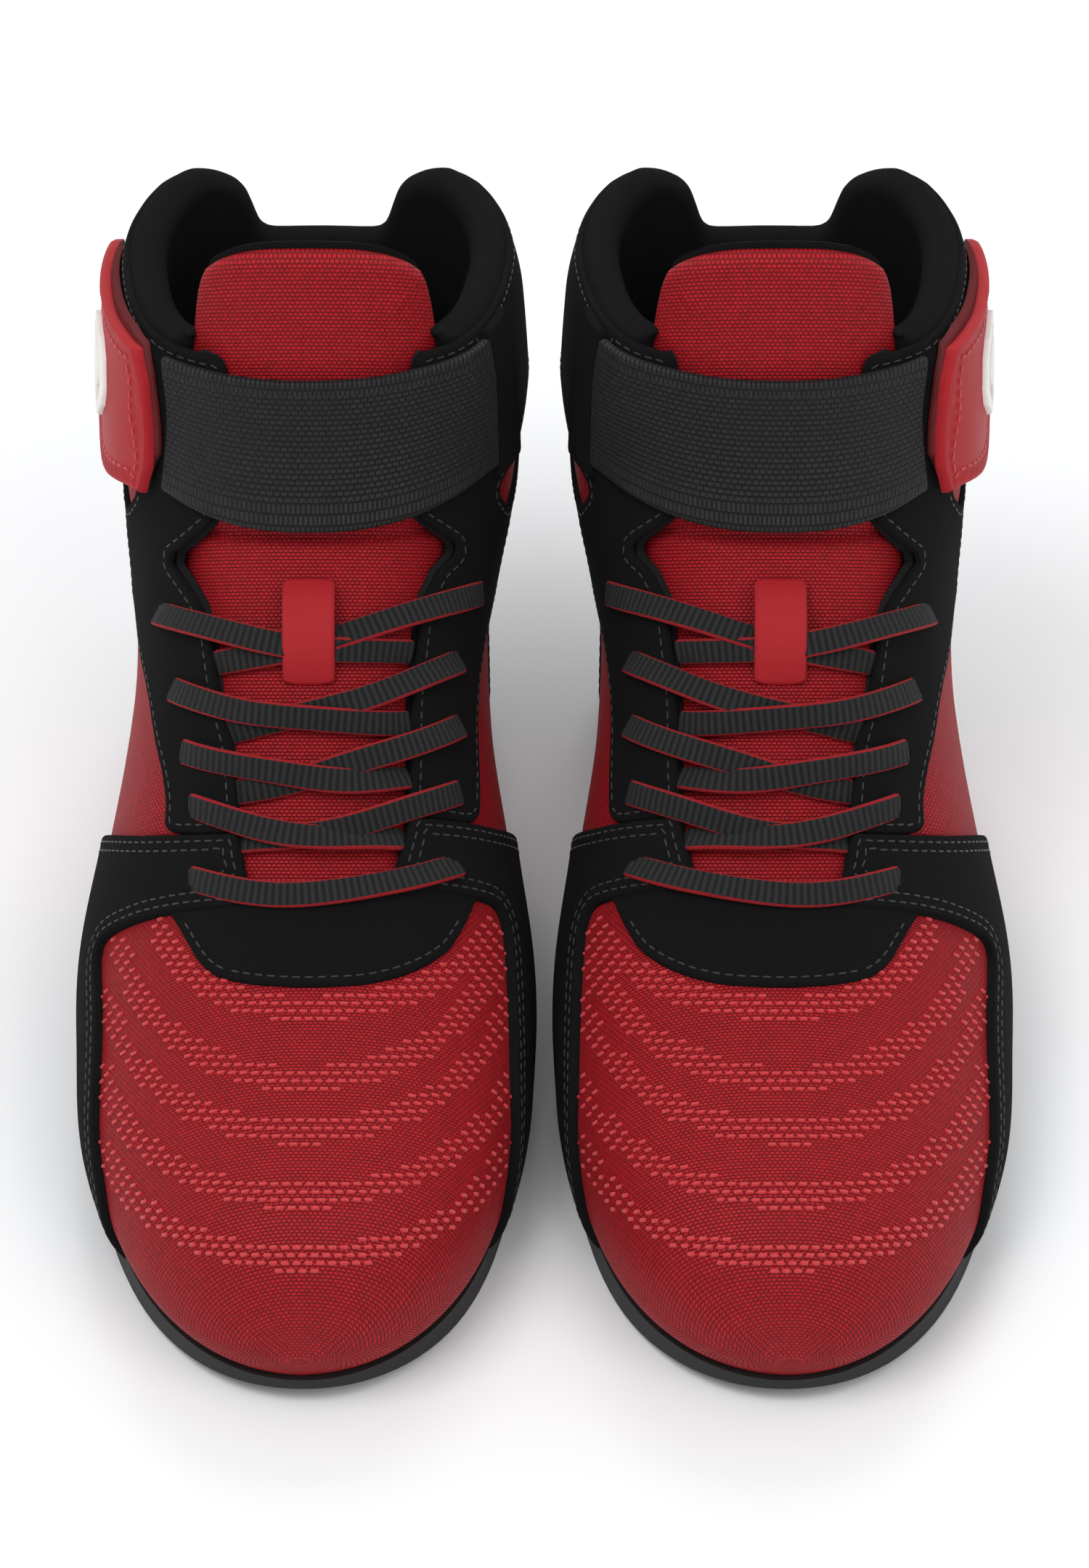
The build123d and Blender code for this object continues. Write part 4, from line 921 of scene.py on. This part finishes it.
red_hook, tree = started("red hook tape")
hooks = add(tree, "TexVoronoi", {"Scale": 900.0})
colour = add(tree, "Mix", {"Factor": hooks.outputs["Distance"], "A": linear("#c4141f"), "B": linear("#7c0a12")},
             data_type="RGBA")
finish_of("hooks", colour.outputs["Result"], hooks.outputs["Distance"], 0.0011, Roughness=0.85,
          Sheen_Weight=0.1, Specular_IOR_Level=0.1)
HOOK = [(tab_edge(127) + 1.6, 127), (tab_edge(157) + 2.5, 157.2), (205, 158.3), (217, 156.2), (235, 154),
        (246, 152.5), (250, 145), (243, 134), (234, 124), (225, 119), (212, 117), (198, 121)]
hook_field = measured(on_side(HOOK, 1, 1, STRAP_CLOTH))
make("hook_patch", panel(hook_field, 1.8, 3.6, 1.0), red_hook, "tab", ["hook_patch"])

white_rubber, tree = started("white moulded rubber")
cloud = add(tree, "TexNoise", {"Scale": 90.0, "Detail": 3.0})
colour = add(tree, "Mix", {"Factor": cloud.outputs["Fac"], "A": linear("#e9e7e2"), "B": linear("#f6f5f1")},
             data_type="RGBA")
finish_of("white", colour.outputs["Result"], cloud.outputs["Fac"], 0.00005, Roughness=0.5)
BADGE_MIDDLE = (221.5, 134.5)
BADGE = [(206, 134), (213, 124), (229, 124), (237, 134), (229, 145), (213, 145)]
BADGE_HOLE, BADGE_CORE = 0.76, 0.5


def badge(middle, grow=1.0):
    """A six-sided ring with a solid core, round a middle (y, z) on the outer side."""
    outer, hole, core = (on_side([(middle[0] + (a - BADGE_MIDDLE[0]) * share * grow,
                                   middle[1] + (b - BADGE_MIDDLE[1]) * share * grow) for a, b in BADGE], 1, 1)
                         for share in (1.0, BADGE_HOLE, BADGE_CORE))
    return measured(either(both(outer, -hole), core))


make("tab_emblem", panel(badge(BADGE_MIDDLE), 5.2, 6.7, 0.6), white_rubber, "tab", ["tab_emblem"])

# ---- Print on the outer quarter ----
# The same plain badge, screen-printed large in white ink on the outer side. The ink lies thinly on
# the threads.
PRINT_MIDDLE, PRINT_GROWTH = (190.0, 52.0), 1.35
make("quarter_print", panel(badge(PRINT_MIDDLE, PRINT_GROWTH), -0.2, 0.25, 0.4), white_rubber, "boot")

# ---- Floor, light and camera ----
# A plain white studio floor under large soft lights, seen from the front and above.
floor_mesh = bpy.data.meshes.new("studio_floor")
side_steps = np.linspace(-4, 4, 9)
floor_points = [(a, b, 0) for b in side_steps for a in side_steps]
floor_mesh.from_pydata(floor_points, [], [(9 * r + c, 9 * r + c + 1, 9 * r + c + 10, 9 * r + c + 9)
                                          for r in range(8) for c in range(8)])
floor = bpy.data.objects.new("studio_floor", floor_mesh)
bpy.context.scene.collection.objects.link(floor)
paper, tree = started("matt white paper")
mottle = add(tree, "TexNoise", {"Scale": 3.0, "Detail": 2.0})
colour = add(tree, "Mix", {"Factor": mottle.outputs["Fac"], "A": linear("#f1f2f4"), "B": linear("#f5f6f7")},
             data_type="RGBA")
finish_of("paper", colour.outputs["Result"], mottle.outputs["Fac"], 0.0001, Roughness=0.9)
floor_mesh.materials.append(paper)

world = bpy.data.worlds.new("studio")
bpy.context.scene.world = world
world.use_nodes = True
world.node_tree.nodes["Background"].inputs["Color"].default_value = (1.0, 1.0, 1.0, 1.0)
world.node_tree.nodes["Background"].inputs["Strength"].default_value = 0.62
for name, place, size, power in (("key", (-0.7, -0.5, 1.7), 1.0, 13), ("fill", (0.8, -0.9, 1.3), 1.2, 7),
                                 ("rim", (0.1, 1.3, 1.2), 0.9, 9)):
    light = bpy.data.lights.new(name, "AREA")
    light.size, light.energy = size, power
    lamp = bpy.data.objects.new(name, light)
    lamp.location = place
    lamp.rotation_euler = (Vector((0, 0, 0.08)) - Vector(place)).to_track_quat("-Z", "Y").to_euler()
    bpy.context.scene.collection.objects.link(lamp)

camera_data = bpy.data.cameras.new("camera")
camera_data.lens, camera_data.sensor_fit, camera_data.sensor_height = 125.0, "VERTICAL", 36.0
camera = bpy.data.objects.new("camera", camera_data)
target = Vector((0, -0.018, 0.080))
camera.location = target + Vector((0, -cos(radians(42)), sin(radians(42)))) * 1.3
camera.rotation_euler = (target - camera.location).to_track_quat("-Z", "Y").to_euler()
bpy.context.scene.collection.objects.link(camera)
bpy.context.scene.camera = camera
bpy.context.scene.view_settings.view_transform = "Standard"
